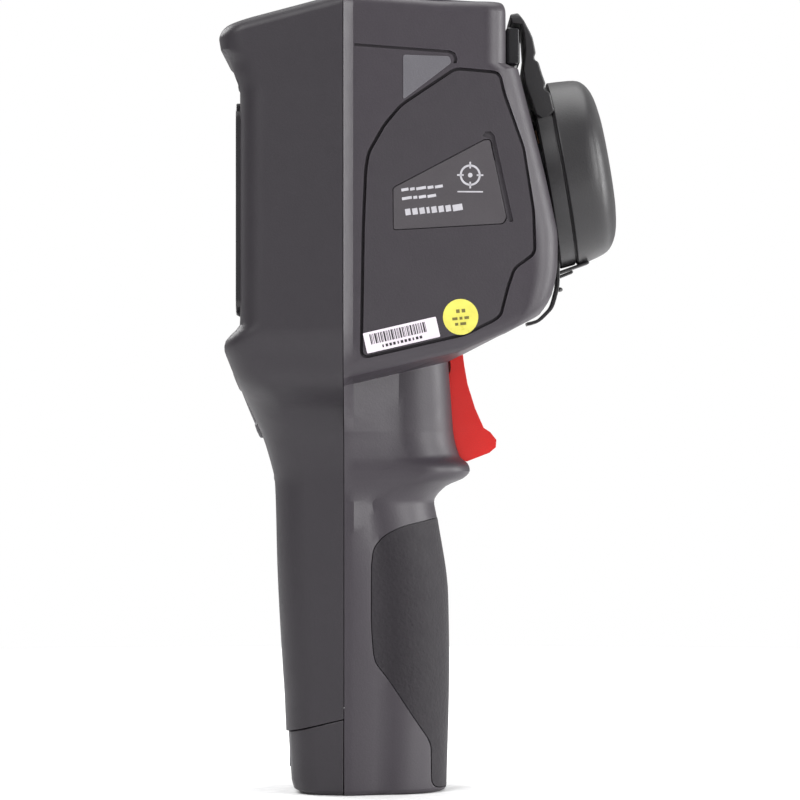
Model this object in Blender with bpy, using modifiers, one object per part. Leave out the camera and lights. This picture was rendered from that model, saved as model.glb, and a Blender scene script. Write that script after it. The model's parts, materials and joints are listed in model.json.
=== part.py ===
"""Handheld pistol-grip thermal imaging camera, as an assembly of separate pieces.

Frame: +Z up, +X towards the lens, symmetric about Y = 0, origin under the middle of the bounding box
on the plane that the grip's foot stands on. Lengths are in metres.
"""

import math

import bmesh
import bpy
from mathutils import Matrix, Vector

# Overall levels, each measured from the one below.
GRIP_HEIGHT = 0.0986
NECK_HEIGHT = 0.0373
SCREEN_FACE_HEIGHT = 0.0763
BROW_HEIGHT = 0.0303

# Widths and depths of the housing.
GRIP_WIDTH = 0.0560
HEAD_WIDTH = 0.1000
NOSE_WIDTH = 0.0760
SEAM_X = -0.0234
GRIP_FRONT_X = 0.0088
GRIP_BACK_X = -0.0440
SCREEN_FACE_X = -0.0545
NOSE_FRONT_X = 0.0415
BROW_REACH = 0.0063
SHELF_REACH = 0.0049
LEDGE_REACH = 0.0064
SEAM_CHAMFER = 0.0030
TOP_SLOPE_DROP = 0.0102

# Walls and clearances.
SHELL_WALL = 0.0026
GAP = 0.0003
KEY_GAP = 0.0004
PAD_THICKNESS = 0.0013
PANEL_THICKNESS = 0.0014
PLATE_THICKNESS = 0.0006
STICKER_THICKNESS = 0.0004

# Optics.
OPTICS_TILT = math.radians(12.5)
LENS_CENTRE_Z = 0.0525
BARREL_RADIUS = 0.0185
BARREL_WALL = 0.0022
FOCUS_RING_WALL = 0.0034
FOCUS_RING_LENGTH = 0.0085
BARREL_REACH = 0.0108
FOCUS_RIDGES = 20
RIDGE = 0.0006

# Lens cap.
CAP_TILT = math.radians(10.0)
CAP_RADIUS = 0.0286
CAP_DEPTH = 0.0210
CAP_RISE = 0.0020
CAP_WALL = 0.0018
TAB_WIDTH = 0.0440
STRAP_WIDTH = 0.0180
STRAP_THICKNESS = 0.0011

# Screen and keys.
SCREEN_WIDTH = 0.0740
SCREEN_HEIGHT = 0.0550
BEZEL_BORDER = 0.0045
WINDOW_THICKNESS = 0.0016
NAV_RADIUS = 0.0105
OK_RADIUS = 0.0045
KEY_PLATE_DEPTH = 0.0009
KEY_TRAVEL = 0.0010

# Trigger.
TRIGGER_WIDTH = 0.0150
TRIGGER_PIN_RADIUS = 0.0016
TRIGGER_HUB_RADIUS = 0.0040

# Battery and foot.
BATTERY_WIDTH = 0.0340
BATTERY_DEPTH = 0.0120
BATTERY_HEIGHT = 0.0640
CAP_SEAM_Z = 0.0190
TRIPOD_THREAD_RADIUS = 0.0032
TRIPOD_INSERT_RADIUS = 0.0048
TRIPOD_X = -0.0085

# Connector flap on the sloping top.
FLAP_LENGTH = 0.0245
FLAP_WIDTH = 0.0340
FLAP_PROUD = 0.0009

ARC_STEPS = 4
KINK_SHARE = 0.673
OVERCUT = 0.0060
LEAST_RADIUS = 0.0030
FOOT_ROUNDING = 0.0012
SIDE_STEP = 0.0034
NOSE_CORNER = 0.0090
BLOCK_CORNER = 0.0070
TOP_ROUNDING = ((0.0030, 0.0), (0.0009, 0.0009), (0.0, 0.0030))
ROUND_STEPS = 28

# Levels worked out from the sizes above.
LEDGE_Z = GRIP_HEIGHT
SHELF_Z = LEDGE_Z + NECK_HEIGHT
SCREEN_TOP_Z = SHELF_Z + SCREEN_FACE_HEIGHT
TOP_Z = SCREEN_TOP_Z + BROW_HEIGHT
KEYS_LOW_Z = LEDGE_Z + 0.0064
KEYS_HIGH_Z = SHELF_Z - 0.0044
HEAD_LOW_Z = SHELF_Z - 0.0094
CHIN_Z = SHELF_Z + 0.0103
SHOULDER_Z = SCREEN_TOP_Z + 0.0083

BROW_X = SCREEN_FACE_X - BROW_REACH
SHELF_X = SCREEN_FACE_X - SHELF_REACH
KEYS_LOW_X = GRIP_BACK_X - 0.0031
KEYS_HIGH_X = SHELF_X + 0.0014
LEDGE_X = GRIP_FRONT_X + LEDGE_REACH
SHOULDER_X = NOSE_FRONT_X - 0.0120
BLOCK_BACK_X = SHOULDER_X - 0.0039

GRIP_HALF = GRIP_WIDTH / 2
HEAD_HALF = HEAD_WIDTH / 2
NOSE_HALF = NOSE_WIDTH / 2

# The flat side of the head's front half leans in from the seam to the nose.
SIDE_HALF = HEAD_HALF - SIDE_STEP
SIDE_START_X = SEAM_X + SEAM_CHAMFER
SIDE_LEAN = math.atan2(SIDE_HALF - NOSE_HALF, NOSE_FRONT_X - NOSE_CORNER - SIDE_START_X)

# Side outline of the back and the front, and the half width along the seam, each as (height, value).
BACK_LINE = [
    (0.0000, GRIP_BACK_X + 0.0042),
    (0.7 * LEDGE_Z, GRIP_BACK_X),
    (LEDGE_Z - 0.0047, GRIP_BACK_X - 0.0007),
    (KEYS_LOW_Z, KEYS_LOW_X),
    (KEYS_HIGH_Z, KEYS_HIGH_X),
    (SHELF_Z, SHELF_X),
    (SHELF_Z + 0.0019, SHELF_X + 0.0004),
    (SHELF_Z + 0.0075, SCREEN_FACE_X),
    (SCREEN_TOP_Z, SCREEN_FACE_X),
    (SCREEN_TOP_Z + 0.0064, SCREEN_FACE_X - 0.0019),
    (SCREEN_TOP_Z + 0.0104, SCREEN_FACE_X - 0.0032),
    (SCREEN_TOP_Z + 0.0145, BROW_X),
    (TOP_Z, BROW_X),
]
GRIP_FRONT_LINE = [
    (0.0000, GRIP_FRONT_X - 0.0009),
    (0.0390, GRIP_FRONT_X),
    (0.0600, GRIP_FRONT_X - 0.0003),
    (LEDGE_Z - 0.0160, GRIP_FRONT_X - 0.0034),
    (LEDGE_Z - 0.0096, GRIP_FRONT_X - 0.0046),
    (LEDGE_Z - 0.0050, GRIP_FRONT_X - 0.0012),
    (LEDGE_Z, LEDGE_X),
    (LEDGE_Z + 0.0043, LEDGE_X - 0.0030),
    (LEDGE_Z + 0.0124, LEDGE_X - 0.0051),
    (SHELF_Z, LEDGE_X - 0.0070),
]
NOSE_FRONT_LINE = [
    (CHIN_Z, NOSE_FRONT_X - 0.0055),
    (CHIN_Z + 0.0038, NOSE_FRONT_X - 0.0029),
    (CHIN_Z + 0.0070, NOSE_FRONT_X - 0.0015),
    (CHIN_Z + 0.0166, NOSE_FRONT_X),
    (CHIN_Z + 0.0230, NOSE_FRONT_X),
    (CHIN_Z + 0.0317, NOSE_FRONT_X - 0.0015),
    (SHOULDER_Z, SHOULDER_X),
]
SEAM_HALF_LINE = [
    (0.0000, GRIP_HALF),
    (LEDGE_Z - 0.0040, GRIP_HALF),
    (LEDGE_Z + 0.0084, GRIP_HALF + 0.0015),
    (LEDGE_Z + 0.0184, GRIP_HALF + 0.0070),
    (HEAD_LOW_Z, HEAD_HALF - 0.0040),
    (SHELF_Z - 0.0010, HEAD_HALF - 0.0020),
    (SHELF_Z + 0.0070, HEAD_HALF),
    (TOP_Z, HEAD_HALF),
]
CORNER_LINE = [
    (0.0000, 0.0130),
    (LEDGE_Z, 0.0130),
    (KEYS_HIGH_Z, 0.0100),
    (SHELF_Z + 0.0080, 0.0080),
    (TOP_Z, 0.0080),
]

COLOURS = {
    "shell": ((0.075, 0.068, 0.078), 0.55, 0.0),
    "front": ((0.105, 0.095, 0.107), 0.55, 0.0),
    "rubber": ((0.045, 0.042, 0.048), 0.70, 0.0),
    "panel": ((0.085, 0.078, 0.088), 0.60, 0.0),
    "light_grey": ((0.230, 0.230, 0.245), 0.50, 0.0),
    "label": ((0.160, 0.160, 0.170), 0.45, 0.0),
    "trigger": ((0.700, 0.035, 0.020), 0.35, 0.0),
    "cap": ((0.060, 0.058, 0.064), 0.45, 0.0),
    "gloss_black": ((0.012, 0.012, 0.014), 0.15, 0.0),
    "glass": ((0.030, 0.035, 0.040), 0.05, 0.0),
    "germanium": ((0.180, 0.190, 0.210), 0.12, 1.0),
    "aluminium": ((0.450, 0.450, 0.460), 0.35, 1.0),
    "steel": ((0.420, 0.420, 0.430), 0.30, 1.0),
    "brass": ((0.650, 0.450, 0.180), 0.30, 1.0),
    "board": ((0.020, 0.130, 0.060), 0.45, 0.0),
    "key": ((0.110, 0.105, 0.112), 0.50, 0.0),
    "battery": ((0.030, 0.060, 0.160), 0.45, 0.0),
    "white": ((0.780, 0.770, 0.780), 0.40, 0.0),
    "yellow": ((0.680, 0.600, 0.080), 0.40, 0.0),
}


def clear_scene():
    for thing in list(bpy.data.objects):
        bpy.data.objects.remove(thing, do_unlink=True)


def collection(name):
    group = bpy.data.collections.new(name)
    bpy.context.scene.collection.children.link(group)
    return group


clear_scene()
PARTS = collection("thermal_imaging_camera")
CUTTERS = collection("cutters")
MATERIALS = {}


def material(name):
    """A plain Principled material, made once for each colour name."""
    if name not in MATERIALS:
        colour, roughness, metallic = COLOURS[name]
        made = bpy.data.materials.new(name)
        made.use_nodes = True
        shader = made.node_tree.nodes["Principled BSDF"]
        shader.inputs["Base Color"].default_value = (*colour, 1.0)
        shader.inputs["Roughness"].default_value = roughness
        shader.inputs["Metallic"].default_value = metallic
        MATERIALS[name] = made
    return MATERIALS[name]


def add_part(name, mesh, colour, matrix=None):
    """One piece of the camera, in the parts collection."""
    piece = bpy.data.objects.new(name, mesh)
    mesh.materials.clear()
    mesh.materials.append(material(colour))
    if matrix is not None:
        piece.matrix_world = matrix
    PARTS.objects.link(piece)
    return piece


def add_cutter(name, mesh, matrix=None):
    """A guide solid that cuts or joins, and isn't part of the camera."""
    tool = bpy.data.objects.new(name, mesh)
    if matrix is not None:
        tool.matrix_world = matrix
    tool.hide_render = True
    tool.display_type = "WIRE"
    CUTTERS.objects.link(tool)
    return tool


def boolean(piece, tool, operation):
    modifier = piece.modifiers.new(operation.lower(), "BOOLEAN")
    modifier.operation = operation
    modifier.solver = "EXACT"
    modifier.object = tool
    return modifier


def cut(piece, *tools):
    for tool in tools:
        boolean(piece, tool, "DIFFERENCE")


def join(piece, *tools):
    for tool in tools:
        boolean(piece, tool, "UNION")


def smooth(mesh, angle=35.0):
    mesh.shade_smooth()
    mesh.set_sharp_from_angle(angle=math.radians(angle))


def finish_mesh(bm, name):
    mesh = bpy.data.meshes.new(name)
    bm.to_mesh(mesh)
    bm.free()
    return mesh


# ---------------------------------------------------------------- basic solids


def box_mesh(name, low, high, edge=0.0, segments=2):
    """A box between two corners, with its edges rounded by edge."""
    bm = bmesh.new()
    bmesh.ops.create_cube(bm, size=1.0)
    middle = (Vector(low) + Vector(high)) / 2
    size = Vector(high) - Vector(low)
    for vert in bm.verts:
        vert.co = Vector((vert.co.x * size.x, vert.co.y * size.y, vert.co.z * size.z)) + middle
    if edge > 0:
        bmesh.ops.bevel(
            bm, geom=bm.edges[:], offset=edge, segments=segments, affect="EDGES", profile=0.5
        )
    return finish_mesh(bm, name)


def cylinder_mesh(name, radius, low, high, steps=ROUND_STEPS, edge=0.0, top_radius=None):
    """A cylinder or cone along local Z, from low to high."""
    bm = bmesh.new()
    bmesh.ops.create_cone(
        bm,
        cap_ends=True,
        segments=steps,
        radius1=radius,
        radius2=radius if top_radius is None else top_radius,
        depth=high - low,
    )
    bmesh.ops.translate(bm, verts=bm.verts, vec=(0, 0, (low + high) / 2))
    if edge > 0:
        rims = [e for e in bm.edges if abs(e.verts[0].co.z - e.verts[1].co.z) < 1e-7]
        bmesh.ops.bevel(bm, geom=rims, offset=edge, segments=1, affect="EDGES", profile=0.5)
    mesh = finish_mesh(bm, name)
    smooth(mesh)
    return mesh


def outline_mesh(name, points, low, high, holes=()):
    """A flat outline in local XY, given thickness along local Z from low to high, with any holes."""
    curve = bpy.data.curves.new(name, "CURVE")
    curve.dimensions = "2D"
    curve.fill_mode = "BOTH"
    curve.extrude = (high - low) / 2
    for loop in (points, *holes):
        spline = curve.splines.new("POLY")
        spline.points.add(len(loop) - 1)
        for place, point in zip(spline.points, loop):
            place.co = (point[0], point[1], 0.0, 1.0)
        spline.use_cyclic_u = True
    holder = bpy.data.objects.new(name, curve)
    bpy.context.scene.collection.objects.link(holder)
    depsgraph = bpy.context.evaluated_depsgraph_get()
    mesh = bpy.data.meshes.new_from_object(holder.evaluated_get(depsgraph))
    bpy.data.objects.remove(holder, do_unlink=True)
    bm = bmesh.new()
    bm.from_mesh(mesh)
    bmesh.ops.remove_doubles(bm, verts=bm.verts, dist=1e-6)
    bmesh.ops.translate(bm, verts=bm.verts, vec=(0, 0, (low + high) / 2))
    bmesh.ops.recalc_face_normals(bm, faces=bm.faces)
    bm.to_mesh(mesh)
    bm.free()
    smooth(mesh)
    return mesh


def turned_mesh(name, profile, steps=ROUND_STEPS):
    """A solid turned about local Z. The profile, as (radius, height), runs down the outer side."""
    mesh = bpy.data.meshes.new(name)
    count = len(profile)
    pairs = [(i, (i + 1) % count) for i in range(count)]
    edges = [(a, b) for a, b in pairs if profile[a][0] > 0.0 or profile[b][0] > 0.0]
    mesh.from_pydata([(radius, 0.0, height) for radius, height in profile], edges, [])
    holder = bpy.data.objects.new(name, mesh)
    bpy.context.scene.collection.objects.link(holder)
    screw = holder.modifiers.new("turn", "SCREW")
    screw.steps = steps
    screw.render_steps = steps
    screw.merge_threshold = 0.00001
    screw.use_merge_vertices = True
    depsgraph = bpy.context.evaluated_depsgraph_get()
    result = bpy.data.meshes.new_from_object(holder.evaluated_get(depsgraph))
    bpy.data.objects.remove(holder, do_unlink=True)
    smooth(result)
    return result


def tube_mesh(name, points, radius):
    """A round wire through the points, with filled ends."""
    curve = bpy.data.curves.new(name, "CURVE")
    curve.dimensions = "3D"
    curve.bevel_depth = radius
    curve.bevel_resolution = 1
    curve.use_fill_caps = True
    spline = curve.splines.new("POLY")
    spline.points.add(len(points) - 1)
    for place, point in zip(spline.points, points):
        place.co = (*point, 1.0)
    holder = bpy.data.objects.new(name, curve)
    bpy.context.scene.collection.objects.link(holder)
    depsgraph = bpy.context.evaluated_depsgraph_get()
    mesh = bpy.data.meshes.new_from_object(holder.evaluated_get(depsgraph))
    bpy.data.objects.remove(holder, do_unlink=True)
    bm = bmesh.new()
    bm.from_mesh(mesh)
    bmesh.ops.remove_doubles(bm, verts=bm.verts, dist=1e-6)
    bmesh.ops.recalc_face_normals(bm, faces=bm.faces)
    bm.to_mesh(mesh)
    bm.free()
    smooth(mesh)
    return mesh


def ribbon_outline(path, thickness):
    """The closed outline of a band of even thickness along a path of (x, z) points."""
    left, right = [], []
    for i, point in enumerate(path):
        before = Vector(path[max(i - 1, 0)])
        after = Vector(path[min(i + 1, len(path) - 1)])
        run = (after - before).normalized()
        side = Vector((-run.y, run.x)) * thickness / 2
        left.append(tuple(Vector(point) + side))
        right.append(tuple(Vector(point) - side))
    return left + right[::-1]


def rounded_rectangle(width, height, radius, steps=3):
    """Outline of a rectangle with round corners, centred on the origin."""
    points = []
    for quarter in range(4):
        start = math.pi / 2 * quarter
        sx = 1 if quarter in (0, 3) else -1
        sy = 1 if quarter in (0, 1) else -1
        for i in range(steps + 1):
            a = start + math.pi / 2 * i / steps
            points.append(
                (
                    sx * (width / 2 - radius) + radius * math.cos(a),
                    sy * (height / 2 - radius) + radius * math.sin(a),
                )
            )
    return points


def arc_points(centre, radius, start, end, steps):
    """Points on an arc, angles in degrees."""
    angles = [math.radians(start + (end - start) * i / steps) for i in range(steps + 1)]
    return [(centre[0] + radius * math.cos(a), centre[1] + radius * math.sin(a)) for a in angles]


# ---------------------------------------------------------------- frames on the camera


def frame(origin, x_axis, y_axis):
    """A matrix with the given origin and axes, its third axis at right angles to both."""
    x = Vector(x_axis).normalized()
    y = Vector(y_axis).normalized()
    z = x.cross(y)
    rotation = Matrix((x, y, z)).transposed().to_4x4()
    return Matrix.Translation(origin) @ rotation


def side_view(y=0.0):
    """Local X and Y are the camera's X and Z, and local Z points to -Y."""
    return frame((0, y, 0), (1, 0, 0), (0, 0, 1))


def line_at(line, height):
    """Straight-line value of a (height, value) line."""
    if height <= line[0][0]:
        return line[0][1]
    for (z0, v0), (z1, v1) in zip(line, line[1:]):
        if height <= z1:
            return v0 + (v1 - v0) * (height - z0) / (z1 - z0)
    return line[-1][1]


def side_half_at(x):
    """Half width of the flat side at x."""
    return SIDE_HALF - math.tan(SIDE_LEAN) * (x - SIDE_START_X)


def top_height(x):
    """Height of the head's top at x."""
    line = [
        (BROW_X, TOP_Z - TOP_SLOPE_DROP),
        (SEAM_X - 0.0025, TOP_Z),
        (SEAM_X + 0.0273, TOP_Z - 0.0019),
        (SHOULDER_X, TOP_Z - 0.0018),
    ]
    return line_at(line, x)


def optics(along=0.0):
    """Local Z is the lens axis, and local X points up the front face."""
    axis = Vector((math.cos(OPTICS_TILT), 0, math.sin(OPTICS_TILT)))
    up = Vector((-math.sin(OPTICS_TILT), 0, math.cos(OPTICS_TILT)))
    z = SHELF_Z + LENS_CENTRE_Z
    origin = Vector((line_at(NOSE_FRONT_LINE, z) + GAP, 0, z)) + axis * along
    return frame(origin, up, up.cross(axis) * -1)


KEY_SLOPE = math.atan2(KEYS_LOW_X - KEYS_HIGH_X, KEYS_HIGH_Z - KEYS_LOW_Z)


def keypad():
    """Local X runs up the key face, local Y is the camera's Y, and local Z points out of the face."""
    x = (KEYS_LOW_X + KEYS_HIGH_X) / 2 + KEY_PLATE_DEPTH * math.cos(KEY_SLOPE)
    z = (KEYS_LOW_Z + KEYS_HIGH_Z) / 2 + KEY_PLATE_DEPTH * math.sin(KEY_SLOPE)
    up = (-math.sin(KEY_SLOPE), 0, math.cos(KEY_SLOPE))
    return frame((x, 0, z), up, (0, 1, 0))


TOP_SLOPE = math.atan2(TOP_SLOPE_DROP, SEAM_X - 0.0025 - BROW_X)
FLAP_MIDDLE_X = SEAM_X - 0.0147


def top_slope():
    """Local X runs forwards up the sloping top, and local Z points out of it."""
    origin = (FLAP_MIDDLE_X, 0, top_height(FLAP_MIDDLE_X))
    return frame(origin, (math.cos(TOP_SLOPE), 0, math.sin(TOP_SLOPE)), (0, 1, 0))


# ---------------------------------------------------------------- housing sections


def back_half(x_back, half, radius, height_at, wall=0.0):
    """One level of the rear shell, from the +Y seam edge round the back to the -Y one, wall inside it."""
    seam = SEAM_X - GAP / 2 if wall == 0 else SEAM_X + OVERCUT
    draft = 0.0012
    radius = max(radius - wall, LEAST_RADIUS)
    side = [(seam, half - wall)]
    centre = (x_back + wall + radius, half - draft - wall - radius)
    side += arc_points(centre, radius, 90, 180, ARC_STEPS)
    points = side + [(x, -y) for x, y in reversed(side)]
    return [(x, y, height_at(x)) for x, y in points]


def front_half(x_front, seam_half, side_half, nose_half, radius, height_at, wall=0.0):
    """One level of the front shell, from the -Y seam edge round the front to the +Y one, wall inside it."""
    start = SEAM_X + GAP / 2 if wall == 0 else SEAM_X - OVERCUT
    chamfer_x = SEAM_X + SEAM_CHAMFER
    x_front = x_front - wall
    radius = max(radius - wall, LEAST_RADIUS)
    kink_x = chamfer_x + KINK_SHARE * (x_front - radius - chamfer_x)
    kink_half = side_half + (nose_half - side_half) * KINK_SHARE
    side = [(start, min(seam_half, side_half + (0 if wall else 1)) - wall), (chamfer_x, side_half - wall)]
    side += [(kink_x, kink_half - wall)]
    side += arc_points((x_front - radius, nose_half - wall - radius), radius, 90, 0, ARC_STEPS + 1)
    points = [(x, -y) for x, y in side] + side[::-1]
    return [(x, y, height_at(x)) for x, y in points]


def loft(name, rings, flip=False):
    """A closed solid through closed rings of equally many points, capped across at both ends."""
    bm = bmesh.new()
    rows = [[bm.verts.new(point) for point in ring] for ring in rings]
    for low, high in zip(rows, rows[1:]):
        for a, b, c, d in zip(low, low[1:] + low[:1], high[1:] + high[:1], high):
            bm.faces.new((a, b, c, d))
    for row in (rows[0], rows[-1]):
        last = len(row) - 1
        for i in range(last // 2):
            bm.faces.new((row[i], row[i + 1], row[last - 1 - i], row[last - i]))
    bmesh.ops.recalc_face_normals(bm, faces=bm.faces)
    mesh = finish_mesh(bm, name)
    smooth(mesh, 30.0)
    return mesh


CAP_SEAM_RISE = 0.247


def cap_seam_height(x):
    """Height of the slanting line between the battery cap and the rear shell."""
    return CAP_SEAM_Z + CAP_SEAM_RISE * (x - GRIP_BACK_X - 0.0029)


def level(height):
    return lambda x: height


def top_minus(drop):
    return lambda x: top_height(x) - drop


def rear_shell_rings(wall=0.0):
    """Levels of the rear shell's outside, or of the hollow inside it."""
    rings = []
    low = CAP_SEAM_Z + 0.0040
    lowest = cap_seam_height if wall == 0 else lambda x: cap_seam_height(x) - OVERCUT
    half = line_at(SEAM_HALF_LINE, low)
    rings.append(back_half(line_at(BACK_LINE, low), half, line_at(CORNER_LINE, low), lowest, wall))
    heights = [0.0450] + [z for z, _ in BACK_LINE[1:-1]] + [LEDGE_Z + 0.0184, HEAD_LOW_Z]
    for z in sorted(heights):
        x_back, half, radius = (line_at(l, z) for l in (BACK_LINE, SEAM_HALF_LINE, CORNER_LINE))
        rings.append(back_half(x_back, half, radius, level(z), wall))
    if wall:
        rings.append(back_half(BROW_X, HEAD_HALF, 0.0080, top_minus(0.0010 + wall), wall))
        return rings
    for drop, inset in TOP_ROUNDING:
        rings.append(back_half(BROW_X + inset, HEAD_HALF - inset, 0.0080, top_minus(drop)))
    return rings


GRIP_LEVELS = [0.0080, 0.0390, 0.0600, LEDGE_Z - 0.0250, LEDGE_Z - 0.0160, LEDGE_Z - 0.0096]


def grip_front_rings(wall=0.0):
    """Front half of the grip, from its foot up to the finger ledge."""
    foot = [(wall, 0.0)] if wall else [(0.0, FOOT_ROUNDING), (FOOT_ROUNDING, 0.0)]
    rings = []
    for z, inset in foot + [(z, 0.0) for z in GRIP_LEVELS]:
        half = line_at(SEAM_HALF_LINE, z) - inset
        x_front = line_at(GRIP_FRONT_LINE, z) - inset
        rings.append(front_half(x_front, half, half, half - 0.0035, 0.0190, level(z), wall))
    return rings


def head_line(share):
    """A level of the head's front half at this share of the nose: its height, front and seam height."""
    front_z = CHIN_Z + share * (SHOULDER_Z - CHIN_Z)
    x_front = line_at(NOSE_FRONT_LINE, front_z)
    seam_z = HEAD_LOW_Z + share * (SHOULDER_Z - 0.004 - HEAD_LOW_Z)
    kink_x = SEAM_X + KINK_SHARE * (x_front - SEAM_X)
    kink_drop = 0.0038 * (1 - share) ** 2

    def height(x):
        z = seam_z + (front_z - seam_z) * (x - SEAM_X) / (x_front - SEAM_X)
        if x < kink_x:
            return z - kink_drop * (x - SEAM_X) / (kink_x - SEAM_X)
        return z - kink_drop * max(0.0, x_front - x) / (x_front - kink_x)

    return height, x_front, seam_z


def front_shell_rings(wall=0.0):
    """Levels of the front shell's outside, or of the hollow inside it."""
    rings = grip_front_rings(wall)
    for z in (LEDGE_Z - 0.0050, LEDGE_Z, LEDGE_Z + 0.0043, LEDGE_Z + 0.0124):
        half = line_at(SEAM_HALF_LINE, z)
        nose = GRIP_HALF - (0.0035 if z < LEDGE_Z + 0.0010 else 0.0050)
        x_front = line_at(GRIP_FRONT_LINE, z)
        rings.append(front_half(x_front, half, half - 0.0008, nose, 0.0170, level(z), wall))
    # The neck stays narrow up to the head, whose flat underside starts round it.
    under, _, _ = head_line(0.0)
    half = line_at(SEAM_HALF_LINE, HEAD_LOW_Z - 0.0030)
    rings.append(
        front_half(LEDGE_X - 0.0068, half, GRIP_HALF + 0.0045, GRIP_HALF - 0.0035, 0.0150,
                   lambda x: under(x) - 0.0020 + wall, wall)
    )
    for share, drop in ((0.0, 0.0030), (0.02, 0.0008), (0.05, 0.0), (0.10, 0.0), (0.23, 0.0),
                        (0.50, 0.0), (0.82, 0.0), (1.0, 0.0)):
        height_at, x_front, seam_z = head_line(share)
        seam_half = line_at(SEAM_HALF_LINE, seam_z)
        lift = wall * ((share < 0.03) - (share > 0.95))
        rings.append(
            front_half(x_front, seam_half, SIDE_HALF - drop, side_half_at(x_front - NOSE_CORNER) - drop,
                       NOSE_CORNER, lambda x, h=height_at, r=lift: h(x) + r, wall)
        )
    # Above the shoulder the head steps back behind the window block.
    nose_half = side_half_at(BLOCK_BACK_X - BLOCK_CORNER)
    step_z = SHOULDER_Z + 0.0015 - wall
    rings.append(front_half(BLOCK_BACK_X, HEAD_HALF, SIDE_HALF, nose_half, BLOCK_CORNER,
                            level(step_z), wall))
    if wall:
        rings.append(front_half(BLOCK_BACK_X, HEAD_HALF, SIDE_HALF, nose_half, BLOCK_CORNER,
                                top_minus(0.0010 + wall), wall))
        return rings
    for drop, inset in TOP_ROUNDING:
        rings.append(
            front_half(BLOCK_BACK_X - inset / 2, HEAD_HALF - inset, SIDE_HALF - inset, nose_half - inset,
                       BLOCK_CORNER, top_minus(drop))
        )
    return rings


def make_shell(name, rings, colour):
    shell = add_part(name, loft(name, rings(0.0)), colour)
    cut(shell, add_cutter(name + "_hollow", loft(name + "_hollow", rings(SHELL_WALL))))
    return shell


def round_loop(radius, centre=(0.0, 0.0), steps=ROUND_STEPS):
    return [
        (
            centre[0] + radius * math.cos(2 * math.pi * i / steps),
            centre[1] + radius * math.sin(2 * math.pi * i / steps),
        )
        for i in range(steps)
    ]


# ---------------------------------------------------------------- trigger

PIN_X = LEDGE_X - 0.0107
PIN_Z = SHELF_Z - 0.0054
UNDER_Z = SHELF_Z - 0.0013
SLOT_HALF = TRIGGER_WIDTH / 2 + 0.0006
BRACKET_WALL = 0.0018
BRACKET_BACK_X = PIN_X - 0.0125
PIN_HALF = SLOT_HALF + BRACKET_WALL


def along_y(x, z):
    """Local Z is the camera's Y."""
    return frame((x, 0, z), (0, 0, 1), (1, 0, 0))


def trigger_outline():
    """The finger lever from its hub down to its tip, as (x, z)."""
    low = LEDGE_Z
    return [
        (PIN_X - 0.0040, PIN_Z + 0.0010),
        (PIN_X - 0.0020, PIN_Z + 0.0032),
        (PIN_X + 0.0052, UNDER_Z - 0.0012),
        (LEDGE_X - 0.0022, UNDER_Z + 0.0002),
        (LEDGE_X - 0.0017, UNDER_Z - 0.0037),
        (LEDGE_X - 0.0007, UNDER_Z - 0.0094),
        (LEDGE_X + 0.0016, low + 0.0192),
        (LEDGE_X + 0.0043, low + 0.0131),
        (LEDGE_X + 0.0063, low + 0.0118),
        (LEDGE_X + 0.0082, low + 0.0094),
        (LEDGE_X + 0.0080, low + 0.0071),
        (LEDGE_X + 0.0060, low + 0.0054),
        (LEDGE_X - 0.0010, low + 0.0027),
        (LEDGE_X - 0.0062, low + 0.0042),
        (LEDGE_X - 0.0100, low + 0.0134),
        (PIN_X - 0.0030, PIN_Z - 0.0060),
    ]


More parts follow.
